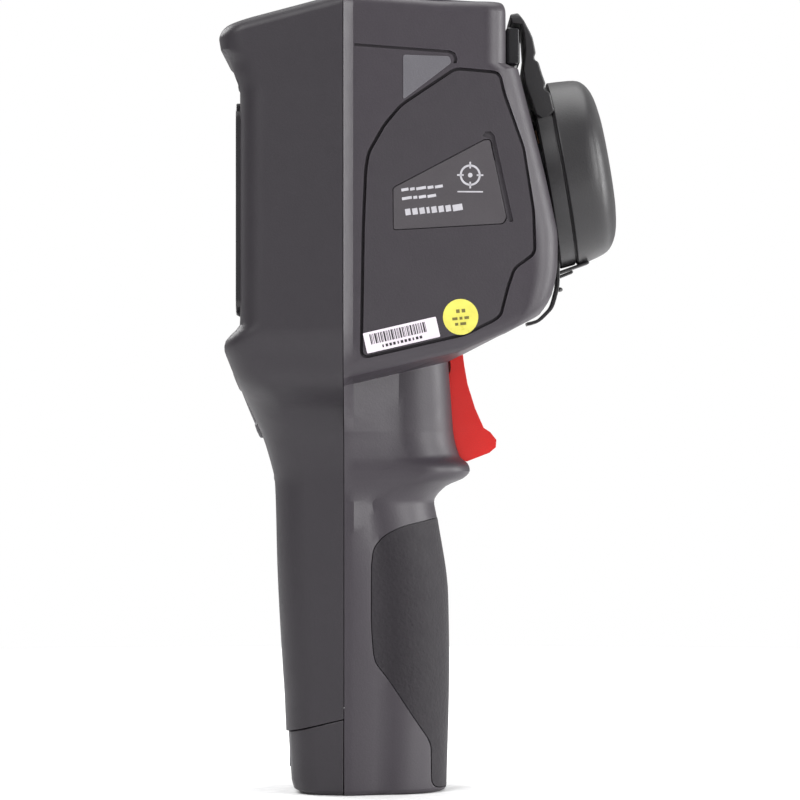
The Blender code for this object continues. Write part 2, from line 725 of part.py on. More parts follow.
def make_trigger(front_shell):
    blade_half = TRIGGER_WIDTH / 2
    hub_half = blade_half - 0.0033
    trigger = add_part("trigger", outline_mesh("trigger", trigger_outline(), -blade_half, blade_half),
                       "trigger", side_view())
    bore = cylinder_mesh("pin_bore", TRIGGER_PIN_RADIUS + GAP, -0.02, 0.02, 20)
    pocket = TRIGGER_HUB_RADIUS + 0.0008
    spring_rooms = [
        add_cutter("spring_room", cylinder_mesh("spring_room", pocket, hub_half * side, 0.02 * side, 20)
                   if side > 0 else cylinder_mesh("spring_room", pocket, -0.02, -hub_half, 20),
                   along_y(PIN_X, PIN_Z))
        for side in (1, -1)
    ]
    cut(trigger, add_cutter("pin_bore", bore, along_y(PIN_X, PIN_Z)), *spring_rooms)

    pin = cylinder_mesh("trigger_pin", TRIGGER_PIN_RADIUS, -PIN_HALF, PIN_HALF, 20)
    add_part("trigger_pin", pin, "steel", along_y(PIN_X, PIN_Z))

    wire = 0.00035
    coil_radius = TRIGGER_PIN_RADIUS + GAP + wire + 0.0004
    turns, steps = 3, 10
    coil_start = hub_half + GAP + wire
    coil_length = blade_half - coil_start - wire
    coil = []
    for i in range(turns * steps + 1):
        a = 2 * math.pi * i / steps
        coil.append((PIN_X + coil_radius * math.cos(a), coil_start + coil_length * i / (turns * steps),
                     PIN_Z + coil_radius * math.sin(a)))
    add_part("trigger_spring", tube_mesh("trigger_spring", coil, wire), "steel")

    low, high = LEDGE_Z + 0.0060, PIN_Z + 0.0030
    bracket = add_part(
        "trigger_bracket",
        box_mesh("trigger_bracket", (BRACKET_BACK_X - BRACKET_WALL, -SLOT_HALF - BRACKET_WALL, low),
                 (PIN_X + 0.0030, SLOT_HALF + BRACKET_WALL, high)),
        "rubber",
    )
    inside = box_mesh("bracket_inside", (BRACKET_BACK_X, -SLOT_HALF, low - 0.01),
                      (PIN_X + 0.01, SLOT_HALF, high + 0.01))
    cut(bracket, add_cutter("bracket_inside", inside),
        add_cutter("bracket_bore", cylinder_mesh("bracket_bore", TRIGGER_PIN_RADIUS + GAP, -0.02, 0.02, 20),
                   along_y(PIN_X, PIN_Z)))

    switch_z = LEDGE_Z + 0.0150
    body_x = BRACKET_BACK_X + GAP
    body = box_mesh("trigger_switch", (body_x, -0.0030, switch_z - 0.0035),
                    (body_x + 0.0070, 0.0030, switch_z + 0.0035), 0.0004, 1)
    switch = add_part("trigger_switch", body, "gloss_black")
    plunger = box_mesh("plunger", (body_x + 0.0060, -0.0012, switch_z - 0.0010),
                       (body_x + 0.0084, 0.0012, switch_z + 0.0010))
    join(switch, add_cutter("plunger", plunger))

    slot = box_mesh("trigger_slot", (PIN_X - 0.0060, -SLOT_HALF, LEDGE_Z + 0.0006),
                    (LEDGE_X + 0.0100, SLOT_HALF, UNDER_Z + 0.0040))
    room_half = SLOT_HALF + BRACKET_WALL + GAP
    neck_room = box_mesh("bracket_room", (BRACKET_BACK_X - BRACKET_WALL - GAP, -room_half, low - GAP),
                         (PIN_X + 0.0030 + GAP, room_half, high + GAP))
    cut(front_shell, add_cutter("trigger_slot", slot), add_cutter("bracket_room", neck_room))


# ---------------------------------------------------------------- optics


def circle_ring(centre, radius, tilt, steps=ROUND_STEPS):
    """A circle in the XZ-tilted plane whose normal leans up by tilt."""
    up = Vector((-math.sin(tilt), 0, math.cos(tilt)))
    side = Vector((0, 1, 0))
    return [
        tuple(centre + up * radius * math.cos(a) + side * radius * math.sin(a))
        for a in (math.pi * (2 * i + 1) / steps for i in range(steps))
    ]


def cap_solid(name, wall=0.0):
    """The domed cap as a solid, or the room inside it."""
    base = optics(0.0).translation
    normal = Vector((math.cos(CAP_TILT), 0, math.sin(CAP_TILT)))
    up = Vector((-math.sin(CAP_TILT), 0, math.cos(CAP_TILT)))
    # (share of the depth, radius less the base radius)
    profile = [(0.03, 0.0), (0.35, -0.0006), (0.62, -0.0011), (0.79, -0.0022), (0.90, -0.0044),
               (0.96, -0.0082), (0.99, -0.0160)]
    if wall:
        profile = [(-0.30, 0.0), (0.35, -0.0006), (0.62, -0.0011), (0.76, -0.0026), (0.87, -0.0070),
                   (0.895, -0.0160)]
    rings = []
    for share, less in profile:
        centre = base + normal * CAP_DEPTH * share + up * CAP_RISE * share
        rings.append(circle_ring(centre, CAP_RADIUS + less - wall, CAP_TILT))
    return loft(name, rings)


HINGE_X = NOSE_FRONT_X - 0.0003
HINGE_Z = CHIN_Z + 0.0048


def tab_outline():
    """Side outline of the finger tab: a lip over the window block, and a bar down to the cap, as (x, z)."""
    top = SHOULDER_Z
    front = SHOULDER_X
    return [
        (front - 0.0023, top + 0.0175),
        (front + 0.0002, top + 0.0180),
        (front + 0.0028, top + 0.0141),
        (front + 0.0046, top + 0.0104),
        (front + 0.0057, top + 0.0052),
        (front + 0.0078, top - 0.0015),
        (front + 0.0098, top - 0.0071),
        (front + 0.0113, top - 0.0119),
        (front + 0.0085, top - 0.0150),
        (front + 0.0056, top - 0.0130),
        (front + 0.0041, top - 0.0086),
        (front + 0.0024, top - 0.0037),
        (front + 0.0017, top + 0.0007),
        (front + 0.0024, top + 0.0060),
        (front + 0.0020, top + 0.0118),
        (front + 0.0013, top + 0.0144),
        (front - 0.0019, top + 0.0149),
    ]


def make_lens_cap():
    cap = add_part("lens_cap", cap_solid("lens_cap"), "cap")
    tab = outline_mesh("cap_tab", tab_outline(), -TAB_WIDTH / 2, TAB_WIDTH / 2)
    bottom = optics(0.0).translation + Vector((math.sin(CAP_TILT), 0, -math.cos(CAP_TILT))) * CAP_RADIUS
    strap_path = [
        (bottom.x + 0.0004, bottom.z + 0.0012),
        (bottom.x + 0.0001, bottom.z - 0.0030),
        (HINGE_X + 0.0010, HINGE_Z + 0.0030),
        (HINGE_X + 0.0004, HINGE_Z + 0.0006),
    ]
    strap = outline_mesh("cap_strap", ribbon_outline(strap_path, STRAP_THICKNESS),
                         -STRAP_WIDTH / 2, STRAP_WIDTH / 2)
    nub = box_mesh("strap_nub", (HINGE_X + 0.0006, -STRAP_WIDTH / 2, HINGE_Z + 0.0010),
                   (HINGE_X + 0.0025, STRAP_WIDTH / 2, HINGE_Z + 0.0021))
    lip_path = [
        (bottom.x - 0.0002, bottom.z - 0.0010),
        (bottom.x + 0.0045, bottom.z - 0.0001),
        (bottom.x + 0.0095, bottom.z + 0.0017),
    ]
    lip = outline_mesh("cap_lip", ribbon_outline(lip_path, 0.0018), -0.0070, 0.0070)
    join(cap, add_cutter("cap_tab", tab, side_view()), add_cutter("cap_strap", strap, side_view()),
         add_cutter("strap_nub", nub), add_cutter("cap_lip", lip, side_view()))
    cut(cap, add_cutter("cap_inside", cap_solid("cap_inside", CAP_WALL)))

    anchor_path = [
        (HINGE_X - 0.0004, HINGE_Z - 0.0006),
        (HINGE_X - 0.0014, HINGE_Z - 0.0026),
        (HINGE_X - 0.0030, HINGE_Z - 0.0045),
        (HINGE_X - 0.0050, HINGE_Z - 0.0062),
        (HINGE_X - 0.0068, HINGE_Z - 0.0070),
        (HINGE_X - 0.0086, HINGE_Z - 0.0074),
    ]
    anchor = outline_mesh("cap_strap_anchor", ribbon_outline(anchor_path, STRAP_THICKNESS),
                          -STRAP_WIDTH / 2, STRAP_WIDTH / 2)
    add_part("cap_strap_anchor", anchor, "cap", side_view())


LENS_EDGE = 0.0022
DETECTOR_HALF = 0.0170


def make_optics(front_shell):
    inner = BARREL_RADIUS - BARREL_WALL
    barrel = [
        (BARREL_RADIUS, BARREL_REACH),
        (BARREL_RADIUS, -0.0042),
        (BARREL_RADIUS + 0.0030, -0.0042),
        (BARREL_RADIUS + 0.0030, -0.0062),
        (BARREL_RADIUS, -0.0062),
        (BARREL_RADIUS, -0.0120),
        (inner, -0.0120),
        (inner, BARREL_REACH),
    ]
    add_part("lens_barrel", turned_mesh("lens_barrel", barrel), "aluminium", optics())

    ring_out = BARREL_RADIUS + GAP + FOCUS_RING_WALL
    valley = ring_out - RIDGE
    ridges = []
    for i in range(FOCUS_RIDGES):
        for share, radius in ((0.0, ring_out), (0.5, ring_out), (0.6, valley), (0.9, valley)):
            a = 2 * math.pi * (i + share) / FOCUS_RIDGES
            ridges.append((radius * math.cos(a), radius * math.sin(a)))
    ring = outline_mesh("focus_ring", ridges, 0.0012, 0.0012 + FOCUS_RING_LENGTH,
                        holes=[round_loop(BARREL_RADIUS + GAP)])
    add_part("focus_ring", ring, "rubber", optics())

    retaining = [
        (inner - GAP, BARREL_REACH - 0.0003),
        (inner - GAP, BARREL_REACH - 0.0023),
        (inner - 0.0022, BARREL_REACH - 0.0023),
        (inner - 0.0028, BARREL_REACH - 0.0003),
    ]
    add_part("lens_retaining_ring", turned_mesh("lens_retaining_ring", retaining), "aluminium", optics())

    glass_top = BARREL_REACH - 0.0026
    lens_radius = inner - GAP
    for name, high, dome in (("front_lens", glass_top, 0.0016), ("rear_lens", -0.0050, 0.0010)):
        steps = 6
        low = high - dome - LENS_EDGE
        face = [(lens_radius * i / steps, high - dome * (i / steps) ** 2) for i in range(steps + 1)]
        profile = face + [(lens_radius, low), (0.0, low)]
        add_part(name, turned_mesh(name, profile), "germanium", optics())

    size = DETECTOR_HALF
    body = box_mesh("detector_module", (-size, -size, -0.0370), (size, size, -0.0150), 0.0015, 1)
    module = add_part("detector_module", body, "aluminium", optics())
    snout = cylinder_mesh("detector_snout", 0.0110, -0.0160, -0.0126)
    join(module, add_cutter("detector_snout", snout, optics()))

    hole = cylinder_mesh("barrel_hole", BARREL_RADIUS + GAP, -0.0200, 0.0200)
    cut(front_shell, add_cutter("barrel_hole", hole, optics()))


def along_x(x, y, z):
    """Local Z is the camera's X."""
    return frame((x, y, z), (0, 1, 0), (0, 0, 1))


# Name, how far left of the middle, radius and colour.
WINDOWS = [
    ("visible_camera_lens", 0.0, 0.0036, "glass"),
    ("lamp_lens_right", -0.0105, 0.0030, "light_grey"),
    ("lamp_lens_left", 0.0105, 0.0030, "light_grey"),
    ("laser_window", 0.0175, 0.0018, "trigger"),
]
BOARD_THICKNESS = 0.0016


def make_window_block():
    low, high = SHOULDER_Z + 0.0019, SHOULDER_Z + 0.0136
    back, front = BLOCK_BACK_X + GAP, SHOULDER_X + 0.0007
    half = TAB_WIDTH / 2
    body = box_mesh("window_block", (back, -half, low), (front, half, high), 0.0010, 2)
    block = add_part("window_block", body, "gloss_black")
    middle = (low + high) / 2
    depth = 0.0030
    for name, y, radius, colour in WINDOWS:
        place = along_x(front, y, middle)
        seat = cylinder_mesh(name + "_seat", radius, -depth, 0.01, 20)
        cut(block, add_cutter(name + "_seat", seat, place))
        glass = cylinder_mesh(name, radius - GAP, -depth + GAP, -0.0006, 20, 0.0003)
        add_part(name, glass, colour, place)
    board_x = BLOCK_BACK_X - SHELL_WALL - 0.0035
    board = box_mesh("camera_board", (board_x, -0.0200, low), (board_x + BOARD_THICKNESS, 0.0200, high))
    add_part("camera_board", board, "board")


# ---------------------------------------------------------------- back: screen and keys


def screen_place():
    """Local X is the camera's Y, local Y is its Z, and local Z points into the housing."""
    low, high = SHELF_Z + 0.0075, SCREEN_TOP_Z
    return frame((SCREEN_FACE_X, 0, (low + high) / 2), (0, 1, 0), (0, 0, 1))


# Name, how far left of the middle, height above the shelf and half its size.
CHIPS = [
    ("processor", 0.0, 0.0300, 0.0110),
    ("memory", -0.0220, 0.0300, 0.0060),
    ("power_stage", 0.0200, 0.0520, 0.0080),
]


def make_screen(rear_shell):
    place = screen_place()
    width, height = SCREEN_WIDTH + 2 * BEZEL_BORDER, SCREEN_HEIGHT + 2 * BEZEL_BORDER
    opening = rounded_rectangle(SCREEN_WIDTH, SCREEN_HEIGHT, 0.0020)
    bezel = outline_mesh("display_bezel", rounded_rectangle(width, height, 0.0050), -0.0013, 0.0030,
                         holes=[opening])
    add_part("display_bezel", bezel, "panel", place)
    window = rounded_rectangle(SCREEN_WIDTH - 2 * GAP, SCREEN_HEIGHT - 2 * GAP, 0.0018)
    add_part("display_window", outline_mesh("display_window", window, -0.0004, -0.0004 + WINDOW_THICKNESS),
             "glass", place)
    back = WINDOW_THICKNESS - 0.0004 + GAP
    module = box_mesh("display_module", (-SCREEN_WIDTH / 2 + 0.0012, -SCREEN_HEIGHT / 2 + 0.0012, back),
                      (SCREEN_WIDTH / 2 - 0.0012, SCREEN_HEIGHT / 2 - 0.0012, back + 0.0048), 0.0004, 1)
    add_part("display_module", module, "aluminium", place)
    hole = rounded_rectangle(width + 2 * GAP, height + 2 * GAP, 0.0053)
    cut(rear_shell, add_cutter("screen_hole", outline_mesh("screen_hole", hole, -0.0080, 0.0100), place))

    board_x = SEAM_X - 0.0120
    half = HEAD_HALF - SCREW_INSET - POST_RADIUS - 0.0012
    plate = box_mesh("main_board", (board_x, -half, SHELF_Z + 0.0060),
                     (board_x + BOARD_THICKNESS, half, SCREEN_TOP_Z + 0.0040))
    board = add_part("main_board", plate, "board")
    for name, y, z, size in CHIPS:
        centre = SHELF_Z + z
        chip = box_mesh(name, (board_x + BOARD_THICKNESS / 2, y - size, centre - size),
                        (board_x + BOARD_THICKNESS * 2, y + size, centre + size))
        join(board, add_cutter(name, chip))


def key_outline(grow=0.0):
    """Outline of the key panel, wider at the top, in the key face's frame."""
    high, low = 0.0138 + grow, -0.0128 - grow
    wide, narrow = GRIP_HALF - 0.0040 + grow, GRIP_HALF - 0.0125 + grow
    cut_off = 0.0030
    half = [(low, narrow - cut_off), (low + cut_off, narrow)]
    half += [(high - cut_off, wide), (high, wide - cut_off)]
    return half + [(x, -y) for x, y in reversed(half)]


SMALL_KEYS = {
    "upper_right_key": (0.0085, -0.0178, 0.0034),
    "upper_left_key": (0.0085, 0.0178, 0.0034),
    "lower_right_key": (-0.0078, -0.0128, 0.0026),
    "lower_left_key": (-0.0078, 0.0128, 0.0026),
}


def make_keys(rear_shell):
    place = keypad()
    holes = [round_loop(NAV_RADIUS + KEY_GAP)]
    holes += [round_loop(radius + KEY_GAP, (x, y), 20) for x, y, radius in SMALL_KEYS.values()]
    panel = outline_mesh("key_panel", key_outline(), -0.0018, 0.0005, holes=holes)
    add_part("key_panel", panel, "panel", place)
    low, high = -0.0012, 0.0016
    inner = OK_RADIUS + KEY_GAP
    nav = [(inner, high - 0.0007), (NAV_RADIUS - 0.0010, high), (NAV_RADIUS, high - 0.0006)]
    nav += [(NAV_RADIUS, low), (inner, low)]
    add_part("nav_ring", turned_mesh("nav_ring", nav), "key", place)
    add_part("ok_key", cylinder_mesh("ok_key", OK_RADIUS, low, high, 24, 0.0005), "key", place)
    for name, (x, y, radius) in SMALL_KEYS.items():
        key = cylinder_mesh(name, radius, low, high, 20, 0.0005)
        add_part(name, key, "key", place @ Matrix.Translation((x, y, 0)))
    half = GRIP_HALF - 0.0145
    mat_low = low - KEY_TRAVEL - 0.0020
    mat = box_mesh("key_membrane", (-0.0105, -half, mat_low), (0.0115, half, mat_low + 0.0012))
    add_part("key_membrane", mat, "rubber", place)
    board = box_mesh("key_board", (-0.0105, -half, mat_low - 0.0019), (0.0115, half, mat_low - GAP))
    add_part("key_board", board, "board", place)
    opening = outline_mesh("key_opening", key_outline(GAP), -0.0070, 0.0060)
    cut(rear_shell, add_cutter("key_opening", opening, place))


# ---------------------------------------------------------------- battery, foot and screws


def make_battery():
    rings = []
    for z, inset in ((0.0, 0.0040), (0.0012, 0.0011), (0.0040, 0.0004)):
        half = line_at(SEAM_HALF_LINE, z) - (0.0 if z else FOOT_ROUNDING)
        corner = line_at(CORNER_LINE, z) - inset
        rings.append(back_half(line_at(BACK_LINE, z) + inset, half, corner, level(z)))
    half = line_at(SEAM_HALF_LINE, CAP_SEAM_Z)
    x_back = line_at(BACK_LINE, CAP_SEAM_Z) + 0.0004
    corner = line_at(CORNER_LINE, CAP_SEAM_Z)
    rings.append(back_half(x_back, half, corner, lambda x: cap_seam_height(x) - GAP))
    cap = add_part("battery_cap", loft("battery_cap", rings), "shell")

    release_low, release_high = 0.0070, 0.0135
    release_half = 0.0055
    x_face = line_at(BACK_LINE, release_low) + 0.0004
    pocket = box_mesh("release_pocket", (x_face - 0.01, -release_half - KEY_GAP, release_low - KEY_GAP),
                      (x_face + 0.0040, release_half + KEY_GAP, release_high + KEY_GAP))
    cut(cap, add_cutter("release_pocket", pocket))
    release = box_mesh("battery_release", (x_face - 0.0006, -release_half, release_low),
                       (x_face + 0.0022, release_half, release_high), 0.0005, 2)
    add_part("battery_release", release, "key")

    pack_low = cap_seam_height(SEAM_X) + GAP
    front = SEAM_X - 0.0016
    pack = box_mesh("battery_pack", (front - BATTERY_DEPTH, -BATTERY_WIDTH / 2, pack_low),
                    (front, BATTERY_WIDTH / 2, pack_low + BATTERY_HEIGHT), 0.0020, 2)
    add_part("battery_pack", pack, "battery")
    contact_low = pack_low + BATTERY_HEIGHT + 0.0005
    contacts = box_mesh("battery_contacts", (front - BATTERY_DEPTH + 0.0020, -0.0090, contact_low),
                        (front - 0.0020, 0.0090, contact_low + 0.0030), 0.0003, 1)
    add_part("battery_contacts", contacts, "brass")


def make_tripod_insert(front_shell):
    place = Matrix.Translation((TRIPOD_X, 0, 0))
    height = 0.0100
    low = 0.0006
    wall = [(TRIPOD_INSERT_RADIUS, low + height), (TRIPOD_INSERT_RADIUS, low), (TRIPOD_THREAD_RADIUS, low),
            (TRIPOD_THREAD_RADIUS, low + height)]
    add_part("tripod_insert", turned_mesh("tripod_insert", wall), "brass", place)
    hole = cylinder_mesh("tripod_hole", TRIPOD_INSERT_RADIUS + GAP, -0.01, 0.02)
    cut(front_shell, add_cutter("tripod_hole", hole, place))


SCREW_INSET = 0.0098
SCREW_HEAD_RADIUS = 0.0027
SCREW_RADIUS = 0.0014
SCREW_PLACES = [
    (HEAD_HALF - SCREW_INSET, SCREEN_TOP_Z + 0.0032, SIDE_START_X + 0.0220),
    (0.0125, LEDGE_Z - 0.0012, GRIP_FRONT_X + 0.0030),
]
POST_RADIUS = 0.0030
SCREW_LENGTH = 0.0140


def make_screws(rear_shell, front_shell):
    """Screws from the back into posts that stand on the front shell."""
    number = 0
    for y_half, z, root_x in SCREW_PLACES:
        face = line_at(BACK_LINE, z)
        for y in (y_half, -y_half):
            seat = along_x(face, y, z)
            head_depth = 0.0014
            profile = [(0.0, 0.0003), (SCREW_HEAD_RADIUS, 0.0003), (SCREW_HEAD_RADIUS, head_depth)]
            profile += [(SCREW_RADIUS, head_depth), (SCREW_RADIUS, SCREW_LENGTH), (0.0, SCREW_LENGTH)]
            number += 1
            screw = turned_mesh("housing_screw", profile[::-1], 12)
            add_part(f"housing_screw_{number}", screw, "steel", seat)
            post_low = SHELL_WALL + 0.0010
            post = cylinder_mesh("post", POST_RADIUS, post_low, root_x - face, 12)
            bore = cylinder_mesh("post_bore", SCREW_RADIUS + GAP, post_low - 0.002, 0.0160, 12)
            join(front_shell, add_cutter("post", post, seat))
            cut(front_shell, add_cutter("post_bore", bore, seat))
            head_room = cylinder_mesh("head_room", SCREW_HEAD_RADIUS + GAP, -0.01, head_depth + GAP, 12)
            shaft_room = cylinder_mesh("shaft_room", SCREW_RADIUS + GAP, -0.01, 0.01, 12)
            cut(rear_shell, add_cutter("head_room", head_room, seat),
                add_cutter("shaft_room", shaft_room, seat))


# ---------------------------------------------------------------- connector flap


def make_connectors(rear_shell):
    place = top_slope()
    length, width = FLAP_LENGTH, FLAP_WIDTH
    seat = 0.0010
    flap = box_mesh("port_flap", (-length / 2, -width / 2, -seat), (length / 2, width / 2, FLAP_PROUD),
                    0.0006, 2)
    add_part("port_flap", flap, "rubber", place)
    pocket = box_mesh("flap_pocket", (-length / 2 - GAP, -width / 2 - GAP, -seat - GAP),
                      (length / 2 + GAP, width / 2 + GAP, 0.01))
    block_x, block_y = length / 2 - 0.0045, width / 2 - 0.0035
    through = box_mesh("block_hole", (-block_x - GAP, -block_y - GAP, -0.0100),
                       (block_x + GAP, block_y + GAP, 0.01))
    cut(rear_shell, add_cutter("flap_pocket", pocket, place), add_cutter("block_hole", through, place))

    top = -seat - 2 * GAP
    body = box_mesh("connector_block", (-block_x, -block_y, top - 0.0080), (block_x, block_y, top))
    block = add_part("connector_block", body, "panel", place)
    usb = rounded_rectangle(0.0038, 0.0092, 0.0012), rounded_rectangle(0.0030, 0.0084, 0.0009)
    card = rounded_rectangle(0.0030, 0.0130, 0.0006), rounded_rectangle(0.0018, 0.0118, 0.0004)
    video = round_loop(0.0030, steps=20), round_loop(0.0018, steps=20)
    sockets = [
        ("usb_socket", *usb, (0.0030, 0.0060), "steel"),
        ("card_socket", *card, (-0.0035, 0.0040), "steel"),
        ("video_socket", *video, (0.0030, -0.0075), "gloss_black"),
    ]
    for name, outside, inside, centre, colour in sockets:
        where = place @ Matrix.Translation((centre[0], centre[1], top))
        grown = [(x * (1 + 2 * GAP / 0.0030), y * (1 + 2 * GAP / 0.0060)) for x, y in outside]
        cut(block, add_cutter(name + "_room", outline_mesh(name + "_room", grown, -0.0060, 0.01), where))
        add_part(name, outline_mesh(name, outside, -0.0055, -0.0002, holes=[inside]), colour, where)


# ---------------------------------------------------------------- skins on the outside


def side_place(sign, offset=0.0):
    """Local X runs forwards along the head's flat side, local Y is up, and local Z is square to the side.

    Sign is -1 for the right side and 1 for the left. Offset is how far out of the side the origin lies.
    """
    along = Vector((math.cos(SIDE_LEAN), -sign * math.sin(SIDE_LEAN), 0))
    normal = Vector((math.sin(SIDE_LEAN), sign * math.cos(SIDE_LEAN), 0))
    origin = Vector((0, sign * side_half_at(0.0), 0)) + normal * offset
    return frame(origin, along, (0, 0, 1)), -sign


def on_side(name, points, sign, low, high, offset=0.0):
    """A plate on the head's side, from low to high above it."""
    place, outwards = side_place(sign, offset)
    bottom, top = sorted((low * outwards, high * outwards))
    return outline_mesh(name, points, bottom, top), place


def panel_outline(grow=0.0):
    """Side panel round the nose, as (x, z)."""
    back, top, chin, nose = SIDE_START_X, SHOULDER_Z, CHIN_Z, NOSE_FRONT_X
    points = [
        (back + 0.0027, HEAD_LOW_Z + 0.0070),
        (back + 0.0336, HEAD_LOW_Z + 0.0140),
        (nose - 0.0196, HEAD_LOW_Z + 0.0182),
        (nose - 0.0176, chin + 0.0000),
        (nose - 0.0155, chin + 0.0082),
        (nose - 0.0134, chin + 0.0142),
        (nose - 0.0072, chin + 0.0186),
        (nose - 0.0076, chin + 0.0310),
        (nose - 0.0106, chin + 0.0500),
        (SHOULDER_X - 0.0046, top - 0.0080),
        (SHOULDER_X - 0.0060, top - 0.0020),
        (back + 0.0310, top - 0.0010),
        (back + 0.0146, top - 0.0120),
        (back + 0.0096, top - 0.0179),
        (back + 0.0048, top - 0.0263),
        (back + 0.0040, top - 0.0314),
        (back + 0.0033, top - 0.0485),
    ]
    return grown(points, grow)


def grown(points, grow):
    """The outline moved outwards by grow. Its points run anticlockwise."""
    if not grow:
        return points
    moved = []
    for i, point in enumerate(points):
        before, here, after = Vector(points[i - 1]), Vector(point), Vector(points[(i + 1) % len(points)])
        one, two = (here - before).normalized(), (after - here).normalized()
        normal_one, normal_two = Vector((one.y, -one.x)), Vector((two.y, -two.x))
        mitre = (normal_one + normal_two).normalized()
        moved.append(tuple(here + mitre * grow / max(0.5, mitre.dot(normal_one))))
    return moved


def label_outline(grow=0.0):
    middle = SHELF_Z + 0.0490
    points = [
        (SIDE_START_X + 0.0120, middle - 0.0135),
        (SIDE_START_X + 0.0455, middle - 0.0114),
        (SIDE_START_X + 0.0465, middle - 0.0096),
        (SIDE_START_X + 0.0415, middle + 0.0138),
        (SIDE_START_X + 0.0398, middle + 0.0138),
        (SIDE_START_X + 0.0119, middle - 0.0009),
    ]
    return grown(points, grow)


def trim_outline(grow=0.0):
    """Light three-cornered insert above the side panel."""
    top = SHOULDER_Z
    points = [
        (SIDE_START_X + 0.0149, top - 0.0100),
        (SIDE_START_X + 0.0296, top + 0.0012),
        (SIDE_START_X + 0.0290, top + 0.0032),
        (SIDE_START_X + 0.0149, top + 0.0035),
    ]
    return grown(points, grow)


STICKER_TILT = math.radians(13.0)
PLATE_DROP = 0.0001


def sticker_outline(centre, width, height):
    turn = Matrix.Rotation(STICKER_TILT, 2)
    corners = ((-1, -1), (1, -1), (1, 1), (-1, 1))
    points = [Vector((x * width / 2, y * height / 2)) for x, y in corners]
    return [tuple(turn @ p + Vector(centre)) for p in points]


def make_side_skins(front_shell):
    for side, sign in (("right", -1), ("left", 1)):
        mesh, place = on_side("side_panel_" + side, panel_outline(), sign, -PANEL_THICKNESS, 0.0)
        panel = add_part("side_panel_" + side, mesh, "panel", place)
        mesh, place = on_side("panel_pocket", panel_outline(GAP), sign, -PANEL_THICKNESS - GAP, 0.01)
        cut(front_shell, add_cutter("panel_pocket_" + side, mesh, place))

        plate_low = -PLATE_THICKNESS - PLATE_DROP
        mesh, place = on_side("label_plate_" + side, label_outline(), sign, plate_low, -PLATE_DROP)
        add_part("label_plate_" + side, mesh, "label", place)
        mesh, place = on_side("label_pocket", label_outline(GAP), sign, plate_low - GAP, 0.01)
        cut(panel, add_cutter("label_pocket_" + side, mesh, place))

        mesh, place = on_side("side_trim_" + side, trim_outline(), sign, -PANEL_THICKNESS, 0.0)
        add_part("side_trim_" + side, mesh, "light_grey", place)
        mesh, place = on_side("trim_pocket", trim_outline(GAP), sign, -PANEL_THICKNESS - GAP, 0.01)
        cut(front_shell, add_cutter("trim_pocket_" + side, mesh, place))

    low, high = GAP, GAP + STICKER_THICKNESS
    centre = (SIDE_START_X + 0.0144, SHELF_Z + 0.0039)
    mesh, place = on_side("barcode_label", sticker_outline(centre, 0.0228, 0.0062), -1, low, high)
    add_part("barcode_label", mesh, "white", place)
    centre = (SIDE_START_X + 0.0324, SHELF_Z + 0.0094)
    mesh, place = on_side("inspection_sticker", round_loop(0.0054, centre, 28), -1, low, high)
    add_part("inspection_sticker", mesh, "yellow", place)


def pad_outline(grow=0.0):
    """Side outline of the grip pad, as (x, z). It runs past the grip's front and stops above its foot."""
    front = GRIP_FRONT_X + 0.0100
    high = LEDGE_Z - 0.0146
    low = 0.0016
    points = [
        (GRIP_FRONT_X - 0.0053, low),
        (front, low),
        (front, high + 0.0010),
        (GRIP_FRONT_X - 0.0034, high),
        (GRIP_FRONT_X - 0.0093, high - 0.0012),
        (GRIP_FRONT_X - 0.0148, high - 0.0025),
        (GRIP_FRONT_X - 0.0198, high - 0.0050),
        (GRIP_FRONT_X - 0.0231, high - 0.0087),
        (GRIP_FRONT_X - 0.0237, high - 0.0139),
        (GRIP_FRONT_X - 0.0237, low + 0.0496),
        (GRIP_FRONT_X - 0.0231, low + 0.0415),
        (GRIP_FRONT_X - 0.0224, low + 0.0387),
        (GRIP_FRONT_X - 0.0173, low + 0.0319),
        (GRIP_FRONT_X - 0.0111, low + 0.0223),
        (GRIP_FRONT_X - 0.0065, low + 0.0155),
        (GRIP_FRONT_X - 0.0055, low + 0.0130),
    ]
    return grown(points, grow)


def grip_layer(name, depth):
    """The grip's front half, this deep under its surface."""
    if depth == 0:
        return loft(name, grip_front_rings())
    inner = []
    for z in [-0.01] + GRIP_LEVELS + [LEDGE_Z + 0.01]:
        half = line_at(SEAM_HALF_LINE, z)
        x_front = line_at(GRIP_FRONT_LINE, min(z, GRIP_LEVELS[-1]))
        inner.append(front_half(x_front, half, half, half - 0.0035, 0.0190, level(z), depth))
    return loft(name, inner)


def make_grip_pad(front_shell):
    far = GRIP_WIDTH
    pad = add_part("front_grip_pad", grip_layer("front_grip_pad", 0), "rubber")
    outline = outline_mesh("pad_outline", pad_outline(), -far, far)
    boolean(pad, add_cutter("pad_outline", outline, side_view()), "INTERSECT")
    cut(pad, add_cutter("pad_core", grip_layer("pad_core", PAD_THICKNESS)))
    recess = add_cutter("pad_recess", outline_mesh("pad_recess", pad_outline(GAP), -far, far), side_view())
    boolean(recess, add_cutter("pad_seat", grip_layer("pad_seat", PAD_THICKNESS + GAP)), "DIFFERENCE")
    cut(front_shell, recess)


rear_shell = make_shell("rear_shell", rear_shell_rings, "shell")
front_shell = make_shell("front_shell", front_shell_rings, "front")
make_optics(front_shell)
make_window_block()
make_lens_cap()
make_trigger(front_shell)
make_screen(rear_shell)
make_keys(rear_shell)
make_battery()
make_tripod_insert(front_shell)
make_connectors(rear_shell)
make_screws(rear_shell, front_shell)
make_side_skins(front_shell)
make_grip_pad(front_shell)
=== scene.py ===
import json
import math

import bmesh
import bpy
from mathutils import Matrix, Vector


